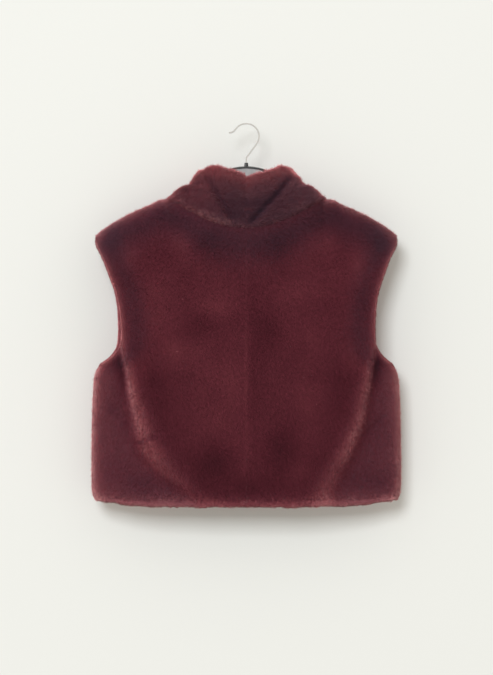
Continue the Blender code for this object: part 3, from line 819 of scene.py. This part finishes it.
def collar_surface(rows, columns):
    """Outer points of the collar, outward directions, wall, and its troughs' depth and painted shade, ring
    by ring.

    Each ring is an oval whose half width and depths come from the sections' table; it climbs from the neck
    seam to the top edge. Troughs follow the two creases, and the cloth between them sinks in.
    """
    angle = np.linspace(-math.pi, math.pi, columns)
    foot, foot_out = collar_foot(angle)
    rise = np.linspace(0, 1, rows)
    half_width, side_rise, back_depth, front_depth = (
        through(COLLAR_SECTIONS, rise, column)[:, None] for column in (1, 2, 3, 4)
    )
    sine, cosine = np.sin(angle), np.cos(angle)
    at_back = cosine > 0
    inset = np.where(at_back, 0.0, FRONT["centre_inset"])
    x = np.sign(angle) * (inset + (half_width - inset) * abs(sine))
    y = -cosine * np.where(at_back, back_depth, front_depth)
    top = through(COLLAR_TOP, np.degrees(angle)) - COLLAR_TOP_WALL / 2
    climb = rise[:, None] + (side_rise - rise[:, None]) * sine**2
    z = foot[:, 2] + climb * (top - foot[:, 2])
    y = y + COLLAR_DENT * bell(np.degrees(angle), COLLAR_DENT_ANGLE) * rise[:, None] ** COLLAR_DENT_POWER
    plain = np.stack([x, y, z], axis=-1)
    plain = plain + (foot - plain[0]) * ((1 - rise) ** 2)[:, None, None]

    along, up = np.gradient(plain, axis=1), np.gradient(plain, axis=0)
    out = unit(np.cross(up, along))
    out = out * np.sign(np.sum(out * foot_out, axis=-1, keepdims=True))
    near_foot = ((1 - rise) ** COLLAR_FOOT_POWER)[:, None, None]
    out = unit(out * (1 - near_foot) + foot_out * near_foot)
    wall = (WALL + (COLLAR_TOP_WALL - WALL) * rise)[:, None, None]
    trough, between, dark = np.zeros_like(z), np.ones_like(z), np.zeros_like(z)
    for top_x, top_z, foot_x, foot_z, depth, soft, way_in, shade in COLLAR_CREASES:
        run, drop = foot_x - top_x, foot_z - top_z
        aside = (plain[..., 2] - top_z) * run - (plain[..., 0] - top_x) * drop
        off = way_in * aside / math.hypot(run, drop) / soft
        trough += depth * bell(off, 1.0)
        dark += shade * bell(off - CREASE_SHADE_PLACE, CREASE_SHADE_REACH)
        between *= (1 + np.tanh(off)) / 2
    at_the_back = np.clip(CREASE_SIDE_FADE * cosine, 0, 1)
    strength = np.clip((rise - CREASE_FOOT) / CREASE_FADE, 0, 1)[:, None] * at_the_back
    sink = strength * (trough + COLLAR_SINK * between)
    fade = 1 - SHADE_FADE * np.clip((rise - SHADE_FADE_START) / SHADE_FADE_RUN, 0, 1)[:, None]
    return plain, out, wall, sink, strength * fade * (dark + SINK_SHADE * between)


# Meshes


def add_piece(name, mesh, materials):
    """An object for a mesh in these materials, which rides on the part's one body."""
    for material in materials:
        mesh.materials.append(material)
    piece = bpy.data.objects.new(name, mesh)
    bpy.context.scene.collection.objects.link(piece)
    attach(piece, "root")
    return piece


def grid_faces(rows, columns, first, turned):
    """Four-sided faces of a grid of points numbered row by row, wound one way or the other."""
    number = first + np.arange(rows * columns).reshape(rows, columns)
    quads = np.stack([number[:-1, :-1], number[:-1, 1:], number[1:, 1:], number[1:, :-1]], axis=-1)
    return quads.reshape(-1, 4)[:, :: -1 if turned else 1]


def border(rows, columns):
    """Numbers of a grid's outermost points, once round."""
    number = np.arange(rows * columns).reshape(rows, columns)
    return np.concatenate([number[0], number[1:, -1], number[-1, -2::-1], number[-2:0:-1, 0]])


def add_cloth(name, outer, inner, bulge, tone, finishes, turned):
    """A closed cloth: two grids joined by a rim that swells, as half an oval, by the given vectors.

    The outer grid and the rim have the first finish and the inner grid the second. The shade of the nap and
    its grey painted sheen are kept at the points, with painted rim light added on the rim.
    """
    rows, columns, _ = outer.shape
    outside, inside = outer.reshape(-1, 3), inner.reshape(-1, 3)
    edge = border(rows, columns)
    middle = (outside[edge] + inside[edge]) / 2 + bulge.reshape(-1, 3)[edge]
    count = len(outside)
    ring = 2 * count + np.arange(len(edge))
    faces = [grid_faces(rows, columns, 0, turned), grid_faces(rows, columns, count, not turned)]
    for here, there in ((edge, ring), (ring, count + edge)):
        quads = np.stack([here, there, np.roll(there, -1), np.roll(here, -1)], axis=1)
        faces.append(quads[:, :: -1 if turned else 1])
    finish = np.repeat([0, 1, 0, 0], [len(part) for part in faces])
    mesh = bpy.data.meshes.new(name)
    mesh.from_pydata(np.concatenate([outside, inside, middle]) * MM, [], np.concatenate(faces).tolist())
    mesh.shade_smooth()
    mesh.set_sharp_from_angle(angle=math.radians(SHARP_ANGLE))
    piece = add_piece(name, mesh, finishes)
    mesh.polygons.foreach_set("material_index", finish)
    for label, grid, lift in zip(("nap_shade", "nap_haze"), tone, (EDGE_LIGHT, 0.0)):
        flat = grid.ravel()
        values = np.concatenate([flat, flat, flat[edge] + lift])
        mesh.attributes.new(label, "FLOAT", "POINT").data.foreach_set("value", values)
    return piece


def edge_strip(outer, inner, bulge, root_outer, root_inner, root_bulge):
    """Roots and tips round a rounded edge: half an oval from the outer to the inner face, at each point."""
    turn = np.linspace(0, math.pi, EDGE_TURNS)[:, None, None]

    def half_oval(outside, inside, swell):
        """Middle of the edge, plus half its thickness by the cosine, plus its swell by the sine."""
        return (outside + inside) / 2 + (outside - inside) / 2 * np.cos(turn) + swell * np.sin(turn)

    return half_oval(root_outer, root_inner, root_bulge), half_oval(outer, inner, bulge)


def scatter(patches, count, rng):
    """Places on patches of roots and tips, spread evenly by area: each is blended from its cell's corners.

    Cells are filled in turn by their share of the area, and places in a cell step by two uneven fractions.
    """
    sizes = []
    for patch in patches:
        tips = patch["tips"]
        sides = np.cross(tips[1:, 1:] - tips[:-1, :-1], tips[1:, :-1] - tips[:-1, 1:])
        sizes.append(np.linalg.norm(sides, axis=-1) / 2 * patch.get("crowd", HAIR_CROWD))
    total = sum(size.sum() for size in sizes)
    parts = []
    for patch, size in zip(patches, sizes):
        number = int(round(count * size.sum() / total))
        turn = (np.arange(number) + rng.random(number)) / number
        cell = np.searchsorted(np.cumsum(size), turn * size.sum())
        row, column = np.unravel_index(np.minimum(cell, size.size - 1), size.shape)
        steps = np.outer(SPREAD_STEPS, np.arange(number)) + PLACE_SPREAD * rng.random((2, number))
        s, t = steps[..., None] % 1

        def blend(grid):
            """Values between a cell's four corners."""
            low = grid[row, column] * (1 - s) + grid[row, column + 1] * s
            high = grid[row + 1, column] * (1 - s) + grid[row + 1, column + 1] * s
            return low * (1 - t) + high * t

        tone = blend(np.stack([patch["shade"], patch["haze"], patch["speck"]], axis=-1))
        habit = np.array([patch["lean"], patch.get("stand", HAIR_STAND), patch.get("ragged", HAIR_RAGGED)])
        habits = np.broadcast_to(habit, (number, 3))
        parts.append((blend(patch["roots"]), blend(patch["tips"]), blend(patch["nap"]), tone, habits))
    return [np.concatenate(part) for part in zip(*parts)]


def grow_hairs(roots, tips, nap, habits, curls, rng):
    """Corners and lit directions of narrow flat hairs with two faces, from their roots out to their tips.

    A tip lies at the solid's face plus the lean along the nap, turned by a slow swirl and by a fine one,
    which draws neighbouring hairs into tufts. A few strays stand further out. Both faces are lit as the
    cloth under them is.
    """
    lean, stand, ragged = habits.T
    tuft, tuft_turn, swirl = curls
    number = len(roots)
    height = tips - roots
    out = unit(height)
    nap = unit(nap - out * np.sum(nap * out, axis=-1, keepdims=True))
    side = np.cross(out, nap)
    turn = SWIRL_TURN * swirl + TUFT_TURN * tuft_turn + HAIR_TURN * rng.standard_normal(number)
    nap = nap * np.cos(turn)[:, None] + side * np.sin(turn)[:, None]
    reach = lean * (1 + ragged * tuft + LEAN_SPREAD * rng.standard_normal(number))
    stray = STRAY_LENGTH * (rng.random(number) < STRAY_SHARE) * rng.random(number)
    stand = stand * (1 + ragged * tuft + STAND_SPREAD * rng.standard_normal(number)) + stray
    ends = roots + height * stand[:, None] + nap * reach[:, None]

    way = unit(ends - roots)
    flat = unit(np.cross(way, out))
    upright = np.cross(flat, way)
    twist = math.pi * (rng.random(number) - 0.5)
    width = HAIR_WIDTH / 2 * (LEAST_WIDTH + WIDTH_SPREAD * rng.random(number))
    across = (flat * np.cos(twist)[:, None] + upright * np.sin(twist)[:, None]) * width[:, None]
    facing = unit(np.cross(across, way))
    corners = np.stack([roots - across, roots + across, ends], axis=1)
    gap = HAIR_THICKNESS / 2 * facing[:, None]
    points = np.stack([corners + gap, corners[:, ::-1] - gap], axis=1)
    lit = out + HAIR_SPREAD * rng.standard_normal((number, 3))
    normals = np.stack([unit(lit + HAIR_FACING * facing), unit(lit - HAIR_FACING * facing)], axis=1)
    return points.reshape(-1, 3), np.repeat(normals.reshape(-1, 3), 3, axis=0)


def hair_maps(tips, tone, habits, curls, seed, rng):
    """Each hair's map, for both faces: from root to tip one way, and along the run of shades the other.

    The shade is the skin's, made uneven by tufts, swirls, specks and chance. The run holds the plain shades
    and then greyer ones of painted sheen, and the share of hairs moved on to those is as great as the sheen
    there.
    """
    tuft, _, swirl = curls
    ragged = habits[:, 2]
    shade, haze, speck = tone.T
    shade = shade + TUFT_LIGHT * ragged * tuft + SWIRL_LIGHT * swirl
    shade = shade + speck * cloud(tips, SPECK_SIZE, seed + 2)
    shade = shade + (SHADE_SPREAD + SPECK_SPREAD * speck) * rng.standard_normal(len(tips))
    run = np.clip(shade, 0, MOST_SHADE) / 2 + (rng.random(len(tips)) < haze) / 2
    hair_map = np.zeros((len(tips), 3, 2))
    hair_map[..., 0] = run[:, None] + SHADE_STEP * np.array(MAP_CORNERS)
    hair_map[:, 2, 1] = 1.0
    return np.stack([hair_map, hair_map[:, ::-1]], axis=1)


def add_fur(name, patches, count, seed, material):
    """A pile over patches of roots and tips: one mesh of loose hairs, two triangles each."""
    rng = np.random.default_rng(seed)
    roots, tips, nap, tone, habits = scatter(patches, count, rng)
    tuft = cloud(tips, TUFT_SIZE, seed)
    tuft_turn = cloud(tips + TUFT_TURN_PLACE, TUFT_TURN_SIZE, seed)
    curls = tuft, tuft_turn, cloud(tips, SWIRL_SIZE, seed + 1)
    points, normals = grow_hairs(roots, tips, nap, habits, curls, rng)
    maps = hair_maps(tips, tone, habits, curls, seed, rng)

    mesh = bpy.data.meshes.new(name)
    mesh.vertices.add(len(points))
    mesh.vertices.foreach_set("co", (points * MM).ravel())
    mesh.loops.add(len(points))
    mesh.loops.foreach_set("vertex_index", np.arange(len(points)))
    mesh.polygons.add(len(points) // 3)
    mesh.polygons.foreach_set("loop_start", np.arange(0, len(points), 3))
    mesh.uv_layers.new(name="OFBake").uv.foreach_set("vector", maps.ravel())
    mesh.update(calc_edges=True)
    mesh.shade_smooth()
    mesh.normals_split_custom_set_from_vertices(normals)
    return add_piece(name, mesh, [material])


# Materials


def set_inputs(node, **values):
    """Sets a node's inputs by their names, written with low lines for spaces."""
    for name, value in values.items():
        node.inputs[name.replace("_", " ")].default_value = value


def add_node(tree, kind, **values):
    """A shader node of this kind, with these values on its inputs."""
    node = tree.nodes.new("ShaderNode" + kind)
    set_inputs(node, **values)
    return node


def link(tree, source, output, target, socket):
    """Joins one node's output to another's input."""
    tree.links.new(source.outputs[output], target.inputs[socket])


def new_material(name, colour, roughness, metallic=0.0, specular=0.5):
    """A Principled material, its shader and its tree."""
    material = bpy.data.materials.new(name)
    material.use_nodes = True
    shader = material.node_tree.nodes["Principled BSDF"]
    set_inputs(shader, Base_Color=(*colour, 1.0), Roughness=roughness, Metallic=metallic)
    set_inputs(shader, Specular_IOR_Level=specular)
    return material, shader, material.node_tree


def colour_ramp(tree, stops):
    """A colour ramp through stops of place, red, green and blue."""
    node = add_node(tree, "ValToRGB")
    elements = node.color_ramp.elements
    while len(elements) < len(stops):
        elements.new(0.5)
    for element, (place, *colour) in zip(elements, stops):
        element.position = place
        element.color = (*colour, 1.0)
    return node


def mix_colours(tree, way):
    """A node that mixes two colours in this way."""
    mix = add_node(tree, "Mix")
    mix.data_type = "RGBA"
    mix.blend_type = way
    return mix


def add_sheen(shader):
    """The light that the fuzz catches where the cloth turns away."""
    set_inputs(shader, Sheen_Weight=0.8, Sheen_Roughness=0.3, Sheen_Tint=(0.95, 0.36, 0.38, 1.0))


def fur_material():
    """Burgundy hair: its shade runs across the hair map, and painted shade darkens it along the map towards
    the root.
    """
    material, shader, tree = new_material("burgundy_fur", FUR_COLOUR, roughness=0.8, specular=0.1)
    add_sheen(shader)
    place = add_node(tree, "UVMap")
    place.uv_map = "OFBake"
    split = add_node(tree, "SeparateXYZ")
    plain = [((1 - SHADE_STEP) * at / 2, *colour) for at, *colour in PLAIN_SHADES]
    shades = colour_ramp(tree, plain + [((1 + at) / 2, *colour) for at, *colour in SHEEN_HAZE_SHADES])
    depth = colour_ramp(tree, ROOT_PAINTED_SHADE)
    mix = mix_colours(tree, "MULTIPLY")
    set_inputs(mix, Factor=1.0)
    link(tree, place, "UV", split, "Vector")
    link(tree, split, "X", shades, "Fac")
    link(tree, split, "Y", depth, "Fac")
    link(tree, shades, "Color", mix, FIRST_COLOUR)
    link(tree, depth, "Color", mix, SECOND_COLOUR)
    link(tree, mix, MIXED_COLOUR, shader, "Base Color")
    return material


def pile_material():
    """Dense lower pile: its shade and grey painted sheen come from the cloth's own values, broken up by a
    fine grain.
    """
    material, shader, tree = new_material("burgundy_pile", PILE_COLOUR, roughness=0.85, specular=0.1)
    add_sheen(shader)
    place = add_node(tree, "TexCoord")
    grain = add_node(tree, "TexNoise", Scale=600.0, Detail=3.0)
    spread = add_node(tree, "MapRange", To_Min=-0.20, To_Max=0.08)
    # The cloth's own values: its shade, and the share of grey painted sheen over it
    shade, haze = add_node(tree, "Attribute"), add_node(tree, "Attribute")
    shade.attribute_name, haze.attribute_name = "nap_shade", "nap_haze"
    total = add_node(tree, "Math")
    plain, sheen_ramp = colour_ramp(tree, PLAIN_SHADES), colour_ramp(tree, SHEEN_HAZE_SHADES)
    mix = mix_colours(tree, "MIX")
    bump = add_node(tree, "Bump", Strength=0.4, Distance=0.0008)
    link(tree, place, "Object", grain, "Vector")
    link(tree, grain, "Fac", spread, "Value")
    link(tree, spread, "Result", total, 0)
    link(tree, shade, "Fac", total, 1)
    for ramp, socket in ((plain, FIRST_COLOUR), (sheen_ramp, SECOND_COLOUR)):
        link(tree, total, "Value", ramp, "Fac")
        link(tree, ramp, "Color", mix, socket)
    link(tree, haze, "Fac", mix, "Factor")
    link(tree, mix, MIXED_COLOUR, shader, "Base Color")
    link(tree, grain, "Fac", bump, "Height")
    link(tree, bump, "Normal", shader, "Normal")
    return material


def backing_material():
    """Knitted backing in the fur's colour: fine rows of loops as a bump, and a slowly uneven dye."""
    material, shader, tree = new_material("knit_backing", BACKING_COLOUR, roughness=0.92, specular=0.15)
    place = add_node(tree, "TexCoord")
    dye = add_node(tree, "TexNoise", Scale=60.0, Detail=4.0)
    tint = colour_ramp(tree, BACKING_SHADES)
    loops = add_node(tree, "TexWave", Scale=160.0, Distortion=1.5, Detail_Scale=2.0)
    loops.bands_direction = "X"
    bump = add_node(tree, "Bump", Strength=0.35, Distance=0.0006)
    link(tree, place, "Object", dye, "Vector")
    link(tree, place, "Object", loops, "Vector")
    link(tree, dye, "Fac", tint, "Fac")
    link(tree, tint, "Color", shader, "Base Color")
    link(tree, loops, "Fac", bump, "Height")
    link(tree, bump, "Normal", shader, "Normal")
    return material


def moulded_material(name, shades, roughness):
    """Moulded plastic: a faint unevenness of colour and gloss, and a very fine grain."""
    material, shader, tree = new_material(name, shades[-1][1:], roughness)
    place = add_node(tree, "TexCoord")
    grain = add_node(tree, "TexNoise", Scale=180.0, Detail=5.0)
    tint = colour_ramp(tree, shades)
    gloss = add_node(tree, "MapRange", To_Min=roughness - GLOSS_SPREAD, To_Max=roughness + GLOSS_SPREAD)
    bump = add_node(tree, "Bump", Strength=0.15, Distance=0.0002)
    link(tree, place, "Object", grain, "Vector")
    for target, socket in ((tint, "Fac"), (gloss, "Value"), (bump, "Height")):
        link(tree, grain, "Fac", target, socket)
    link(tree, tint, "Color", shader, "Base Color")
    link(tree, gloss, "Result", shader, "Roughness")
    link(tree, bump, "Normal", shader, "Normal")
    return material


def wire_material():
    """Bright plated wire with faint drawing marks in its gloss."""
    material, shader, tree = new_material("plated_wire", WIRE_COLOUR, roughness=0.14, metallic=1.0)
    place = add_node(tree, "TexCoord")
    marks = add_node(tree, "TexNoise", Scale=900.0, Detail=3.0)
    gloss = add_node(tree, "MapRange", To_Min=0.1, To_Max=0.26)
    link(tree, place, "Object", marks, "Vector")
    link(tree, marks, "Fac", gloss, "Value")
    link(tree, gloss, "Result", shader, "Roughness")
    return material


def one_sided_material(name, colour):
    """Pale paint that shows from the front and lets the view through from behind."""
    material, shader, tree = new_material(name, colour, roughness=0.9, specular=0.1)
    side = add_node(tree, "NewGeometry")
    clear = add_node(tree, "BsdfTransparent")
    mix = add_node(tree, "MixShader")
    link(tree, side, "Backfacing", mix, "Fac")
    link(tree, shader, "BSDF", mix, 1)
    link(tree, clear, "BSDF", mix, 2)
    link(tree, mix, "Shader", tree.nodes["Material Output"], "Surface")
    return material


# Pieces


def banded(bands, lines, parts):
    """Sum of soft bands, each a bell about a place inside its line, as strong as its part of the panel."""
    return sum(
        strength * bell(lines[line] - inside, reach) * parts[part]
        for line, part, inside, reach, strength in bands
    )


def panel_tone(points, face, fold, sheen_clouds):
    """Lightness, grey painted sheen and specks of the pile over a panel: bands along its lines, then patches
    and waves.

    The lines are the fold, the outer edge, the top and the hem. Painted rim light runs along the edges, with
    bands of painted shade inside them. The fold has a painted highlight on its ridge's inner side, and under
    the arm painted shade in the crease. The patches are painted sheen and shade where the nap lies unevenly.
    """
    across, z = points[..., 0], points[..., 2]
    x = abs(across)
    crest, soft, light, reach = (through(fold, z, column) for column in (CREST, SOFTNESS, LIGHT, REACH))
    lines = dict(
        fold=crest - x,
        edge=np.clip(edge_width(z, face) - x, 0, None),
        top=top_height(np.minimum(x, SHOULDER[-1][0]), face) - z,
        hem=np.clip(z - hem_height(x, face), 0, None),
    )
    from_tip = np.hypot(lines["edge"], lines["top"])
    armhole = (1 + np.tanh((z - UNDERARM) / ARMHOLE_SOFTNESS)) / 2
    inner = 1 - bell(from_tip, INNER_REACH)
    parts = dict(
        all=1.0,
        side=1 - armhole,
        armhole=armhole,
        shoulder=np.clip((x - NECK_HALF_WIDTH) / SHOULDER_START, 0, 1),
        underarm_shade=bell(z - UNDERARM + UNDERARM_SHADE_DROP, UNDERARM_SHADE_REACH),
        inner=inner,
        inner_armhole=inner * armhole,
    )
    outside = (1 - np.tanh((lines["fold"] + OUTSIDE_PLACE) / OUTSIDE_SOFTNESS)) / 2 * parts["side"]
    inside = (1 + np.tanh(RIDGE_SHARPNESS * lines["fold"] / soft)) / 2
    ridge = light * bell(lines["fold"] - RIDGE_PLACE * reach, reach) * inside
    # Painted rim light along the edges, dimmed at the shoulder tip
    rim = banded(face["rim_lights"], lines, parts) * (1 - TIP_DIMMING * bell(from_tip, TIP_REACH))

    shade = PANEL_SHADE + RIDGE_LIGHT * ridge + OUTSIDE_LIGHT * outside + banded(PAINTED_SHADE_BANDS, lines, parts)
    shade += EDGE_LIGHT * rim * (1 + RIM_UNEVEN * cloud(points, RIM_CLOUD_SIZE, RIM_CLOUD_SEED))
    shade -= crease_dips(x, z, face["creases"])[1]
    for place, up, reach_across, reach_up, lift in sheen_clouds:
        shade += lift * bell(np.hypot((across - place) / reach_across, (z - up) / reach_up), 1.0)
    for size, seed, lift in NAP_WAVES:
        shade += lift * cloud(points, size, seed)
    for place, spread, lift in face["seam_lines"]:
        shade += lift * bell(across - place, spread) * bell(z - CENTRE_SEAM_MIDDLE, CENTRE_SEAM_REACH)
    haze = banded(SHEEN_HAZE_BANDS, lines, parts) + OUTSIDE_SHEEN_HAZE * outside + RIM_SHEEN_HAZE * rim + RIDGE_SHEEN_HAZE * ridge
    return shade, np.clip(haze, 0.0, MOST_SHEEN_HAZE), banded(SPECK_BANDS, lines, parts) + RIDGE_SPECK * ridge


def add_panel(name, side, face, fold, sheen_clouds, hairs, seed, cut, finishes, fur):
    """A panel's cloth and its hairs, which wrap round the hem, the armhole and an open centre front."""
    flip = np.array([side, 1.0, 1.0])

    def shape(columns, rows):
        """The panel's outer points, outward ways, rounded edges and tone at this fineness."""
        outer, out, rim = panel_surface(face, fold, columns, rows)
        return outer, out, panel_bulge(outer, out, rim, face), panel_tone(outer * flip, face, fold, sheen_clouds)

    outer, out, bulge, tone = shape(CLOTH_COLUMNS, CLOTH_ROWS)
    depth = np.where(np.linalg.norm(bulge, axis=-1, keepdims=True) > 0, EDGE_DEPTH, PILE_DEPTH)
    edge_scale = (WALL - BACKING_INSET - EDGE_DEPTH) / WALL
    cloth = add_cloth(
        name + "_cloth", (outer - depth * out) * flip, (outer - (WALL - BACKING_INSET) * out) * flip,
        bulge * flip * edge_scale, tone, finishes, turned=(side * face["toward"] > 0),
    )
    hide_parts(name)

    outer, out, bulge, tone = shape(SKIN_COLUMNS, SKIN_ROWS)
    tone = dict(zip(("shade", "haze", "speck"), tone))
    inner = outer - WALL * out
    roots = outer - (PILE_DEPTH + ROOT_SINK) * out
    edge_roots = outer - (EDGE_DEPTH + ROOT_SINK) * out
    inner_roots = outer - (WALL - BACKING_INSET - ROOT_SINK) * out
    nap = np.broadcast_to(-Z_AXIS, outer.shape)
    patches = [dict(roots=roots * flip, tips=outer * flip, nap=nap, **tone, **PANEL_PILE)]
    edges = [(np.s_[0, :], HEM_PILE), (np.s_[:, -1], EDGE_PILE)]
    if face["open_centre"]:
        edges.append((np.s_[:, 0], EDGE_PILE))
    for edge, habit in edges:
        root, tip = edge_strip(
            outer[edge], inner[edge], bulge[edge],
            edge_roots[edge], inner_roots[edge], bulge[edge] * edge_scale,
        )
        nap = np.broadcast_to(-Z_AXIS, tip.shape)
        edge_tone = {label: np.broadcast_to(grid[edge], tip.shape[:2]) for label, grid in tone.items()}
        patches.append(dict(roots=root * flip, tips=tip * flip, nap=nap, **edge_tone, **habit))
    pile = add_fur(name + "_fur", patches, hairs, seed, fur)


def collar_tone(plain, dark, rise):
    """Lightness and grey painted sheen of the collar's pile: a sum of its tones, each as strong as it shows
    there.

    The left is lighter, the top and the sides have painted rim light, a band runs round the upper half, and
    streaks lie along the nap. The creases have painted shade.
    """
    x = plain[..., 0]
    shown = dict(
        plain=1.0,
        left=(1 - np.tanh((x - COLLAR_LEFT_PLACE) / COLLAR_LEFT_SOFTNESS)) / 2,
        top=bell(rise - 1.0, COLLAR_TOP_REACH),
        side=bell(abs(x).max(axis=1, keepdims=True) - abs(x), COLLAR_SIDE_REACH),
        upper=bell(rise - COLLAR_UPPER_PLACE, COLLAR_UPPER_REACH),
        streaks=cloud(plain * STREAK_STRETCH, STREAK_SIZE, STREAK_SEED),
    )
    shade = sum(light * shown[part] for part, (light, _) in COLLAR_TONES.items())
    haze = sum(grey * shown[part] for part, (_, grey) in COLLAR_TONES.items())
    return shade - dark, np.clip(haze, 0, 1)


def add_collar(pile, fur):
    """The collar's doubled cloth and its hairs, which go over the top fold and down the inside.

    At the foot a fringe of hairs hangs over the seam, with painted light in two places, and a band of specks
    above it.
    """

    def shape(rows, columns):
        """The collar's outer and inner points, outward ways, swell of the top and tone at this fineness."""
        plain, out, wall, sink, dark = collar_surface(rows, columns)
        rise = np.linspace(0, 1, rows)[:, None] * np.ones(plain.shape[:2])
        outer = plain - sink[..., None] * out
        inner = plain - np.maximum(sink[..., None] + COLLAR_LEAST_WALL, wall) * out
        swell = unit(plain[-1] - plain[-2]) * COLLAR_TOP_WALL / 2
        return outer, inner, out, swell, collar_tone(plain, dark, rise)

    top_scale = 1 - COLLAR_TOP_DEPTH / (COLLAR_TOP_WALL / 2)
    outer, inner, out, swell, tone = shape(*COLLAR_CLOTH_GRID)
    bulge = np.zeros_like(outer)
    bulge[-1] = swell * top_scale
    cloth = add_cloth(
        "collar_cloth", outer - COLLAR_DEPTH * out, inner + COLLAR_INNER_DEPTH * out,
        bulge, tone, (pile, pile), turned=False,
    )
    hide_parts("collar")

    outer, inner, out, swell, (shade, haze) = shape(*COLLAR_SKIN_GRID)
    roots = outer - (COLLAR_DEPTH + ROOT_SINK) * out
    inner_roots = inner + (COLLAR_INNER_DEPTH + ROOT_SINK) * out
    along = unit(np.gradient(outer, axis=1))
    nap = along - COLLAR_NAP_DROP * Z_AXIS
    top_roots, top_tips = edge_strip(
        outer[-1], inner[-1], swell, roots[-1], inner_roots[-1], swell * top_scale)
    top_nap = np.broadcast_to(along[-1], top_tips.shape)
    even, top_even = np.zeros_like(shade), np.zeros(top_tips.shape[:2])
    foot = np.s_[:FOOT_ROWS]
    foot_nap = np.broadcast_to(-Z_AXIS, outer[foot].shape)
    # Painted light on the fringe and the band at the foot, at the back only
    highlight = sum(light * bell(outer[..., 0] - place, reach) for place, reach, light in FOOT_HIGHLIGHTS)
    highlight = highlight * (outer[..., 1] < 0)
    band = highlight * bell(np.linspace(0, 1, len(outer)) - BAND_PLACE, BAND_REACH)[:, None]
    patches = [
        dict(
            roots=roots, tips=outer, nap=nap, shade=shade + BAND_LIGHT * band, haze=haze + BAND_SHEEN_HAZE * band,
            speck=BAND_SPECK * band, **COLLAR_PILE,
        ),
        dict(
            roots=inner_roots, tips=inner, nap=nap, shade=even + COLLAR_INNER_SHADE, haze=haze, speck=even,
            **COLLAR_INNER_PILE,
        ),
        dict(
            roots=top_roots, tips=top_tips, nap=top_nap, shade=top_even + TOP_SHADE,
            haze=top_even + TOP_SHEEN_HAZE, speck=top_even + TOP_SPECK, **TOP_PILE,
        ),
        dict(
            roots=roots[foot], tips=outer[foot], nap=foot_nap, shade=FOOT_SHADE + FOOT_LIGHT * highlight[foot],
            haze=haze[foot], speck=FOOT_SPECK + FOOT_HIGHLIGHT_SPECK * highlight[foot], **FOOT_PILE,
        ),
    ]
    hairs = add_fur("collar_fur", patches, COLLAR_HAIRS, COLLAR_SEED, fur)


def dress_hanger():
    """Finishes for the hanger's own solids."""
    black = moulded_material("satin_black_plastic", BLACK_SHADES, roughness=0.38)
    grey = moulded_material("satin_grey_plastic", GREY_SHADES, roughness=0.45)
    finishes = dict(hanger_rim=black, hanger_ferrule=black, hanger_web=grey, hanger_hook=wire_material())
    for node, material in finishes.items():
        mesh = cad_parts[node].data
        mesh.materials.clear()
        mesh.materials.append(material)


# Stage, light and camera


def add_plane(name, corners, material, mirrored):
    """A flat stage piece of four corners: it sheds no light or shade, but the object may mirror it."""
    mesh = bpy.data.meshes.new(name)
    mesh.from_pydata(corners, [], [(0, 1, 2, 3)])
    mesh.materials.append(material)
    plane = bpy.data.objects.new(name, mesh)
    bpy.context.scene.collection.objects.link(plane)
    plane.visible_shadow = False
    plane.visible_diffuse = False
    plane.visible_glossy = mirrored
    return plane


def add_light(name, place, size, power, colour):
    """A square soft light that looks at the middle of the object."""
    light = bpy.data.lights.new(name, "AREA")
    light.shape = "SQUARE"
    light.size = size
    light.energy = power
    light.color = colour
    lamp = bpy.data.objects.new(name, light)
    lamp.location = place
    way = np.array(LIGHTS_AIM) - np.array(place)
    tilt = math.pi / 2 + math.atan2(way[2], math.hypot(way[0], way[1]))
    lamp.rotation_euler = (tilt, 0.0, math.atan2(-way[0], way[1]))
    bpy.context.scene.collection.objects.link(lamp)
    return lamp


def pass_over(lamps, skipped):
    """Lets lamps light everything but one object."""
    others = bpy.data.collections.new("lit_by_others")
    others.objects.link(skipped)
    others.collection_objects[0].light_linking.link_state = "EXCLUDE"
    for lamp in lamps:
        lamp.light_linking.receiver_collection = others


def set_stage():
    """Pale floor, backdrop and room, soft lights and the camera."""
    far, low = STAGE_REACH, FLOOR_HEIGHT
    floor_corners = [(-far, -far, low), (far, -far, low), (far, far, low), (-far, far, low)]
    upright = ((-far, low), (far, low), (far, far), (-far, far))
    backdrop_corners = [(x, BACKDROP_PLACE, z) for x, z in upright]
    floor = add_plane("floor", floor_corners, one_sided_material("pale_floor", FLOOR_COLOUR), mirrored=False)
    backdrop_paint = one_sided_material("pale_backdrop", BACKDROP_COLOUR)
    add_plane("backdrop", backdrop_corners, backdrop_paint, mirrored=True)
    world = bpy.data.worlds.new("pale_room")
    world.use_nodes = True
    set_inputs(world.node_tree.nodes["Background"], Color=(*ROOM_COLOUR, 1.0), Strength=ROOM_STRENGTH)
    bpy.context.scene.world = world
    pass_over([add_light(*lamp) for lamp in LIGHTS], floor)

    camera = bpy.data.objects.new("camera", bpy.data.cameras.new("camera"))
    camera.data.lens = CAMERA_LENS
    camera.location = CAMERA_PLACE
    camera.rotation_euler = (math.pi / 2, 0.0, 0.0)
    bpy.context.scene.collection.objects.link(camera)
    bpy.context.scene.camera = camera
    bpy.context.scene.view_settings.view_transform = "Standard"


def main():
    """Dresses the whole object."""
    fur, pile, backing = fur_material(), pile_material(), backing_material()
    for panel in PANELS:
        add_panel(*panel, finishes=(pile, backing), fur=fur)
    add_collar(pile, fur)
    dress_hanger()
    set_stage()


main()
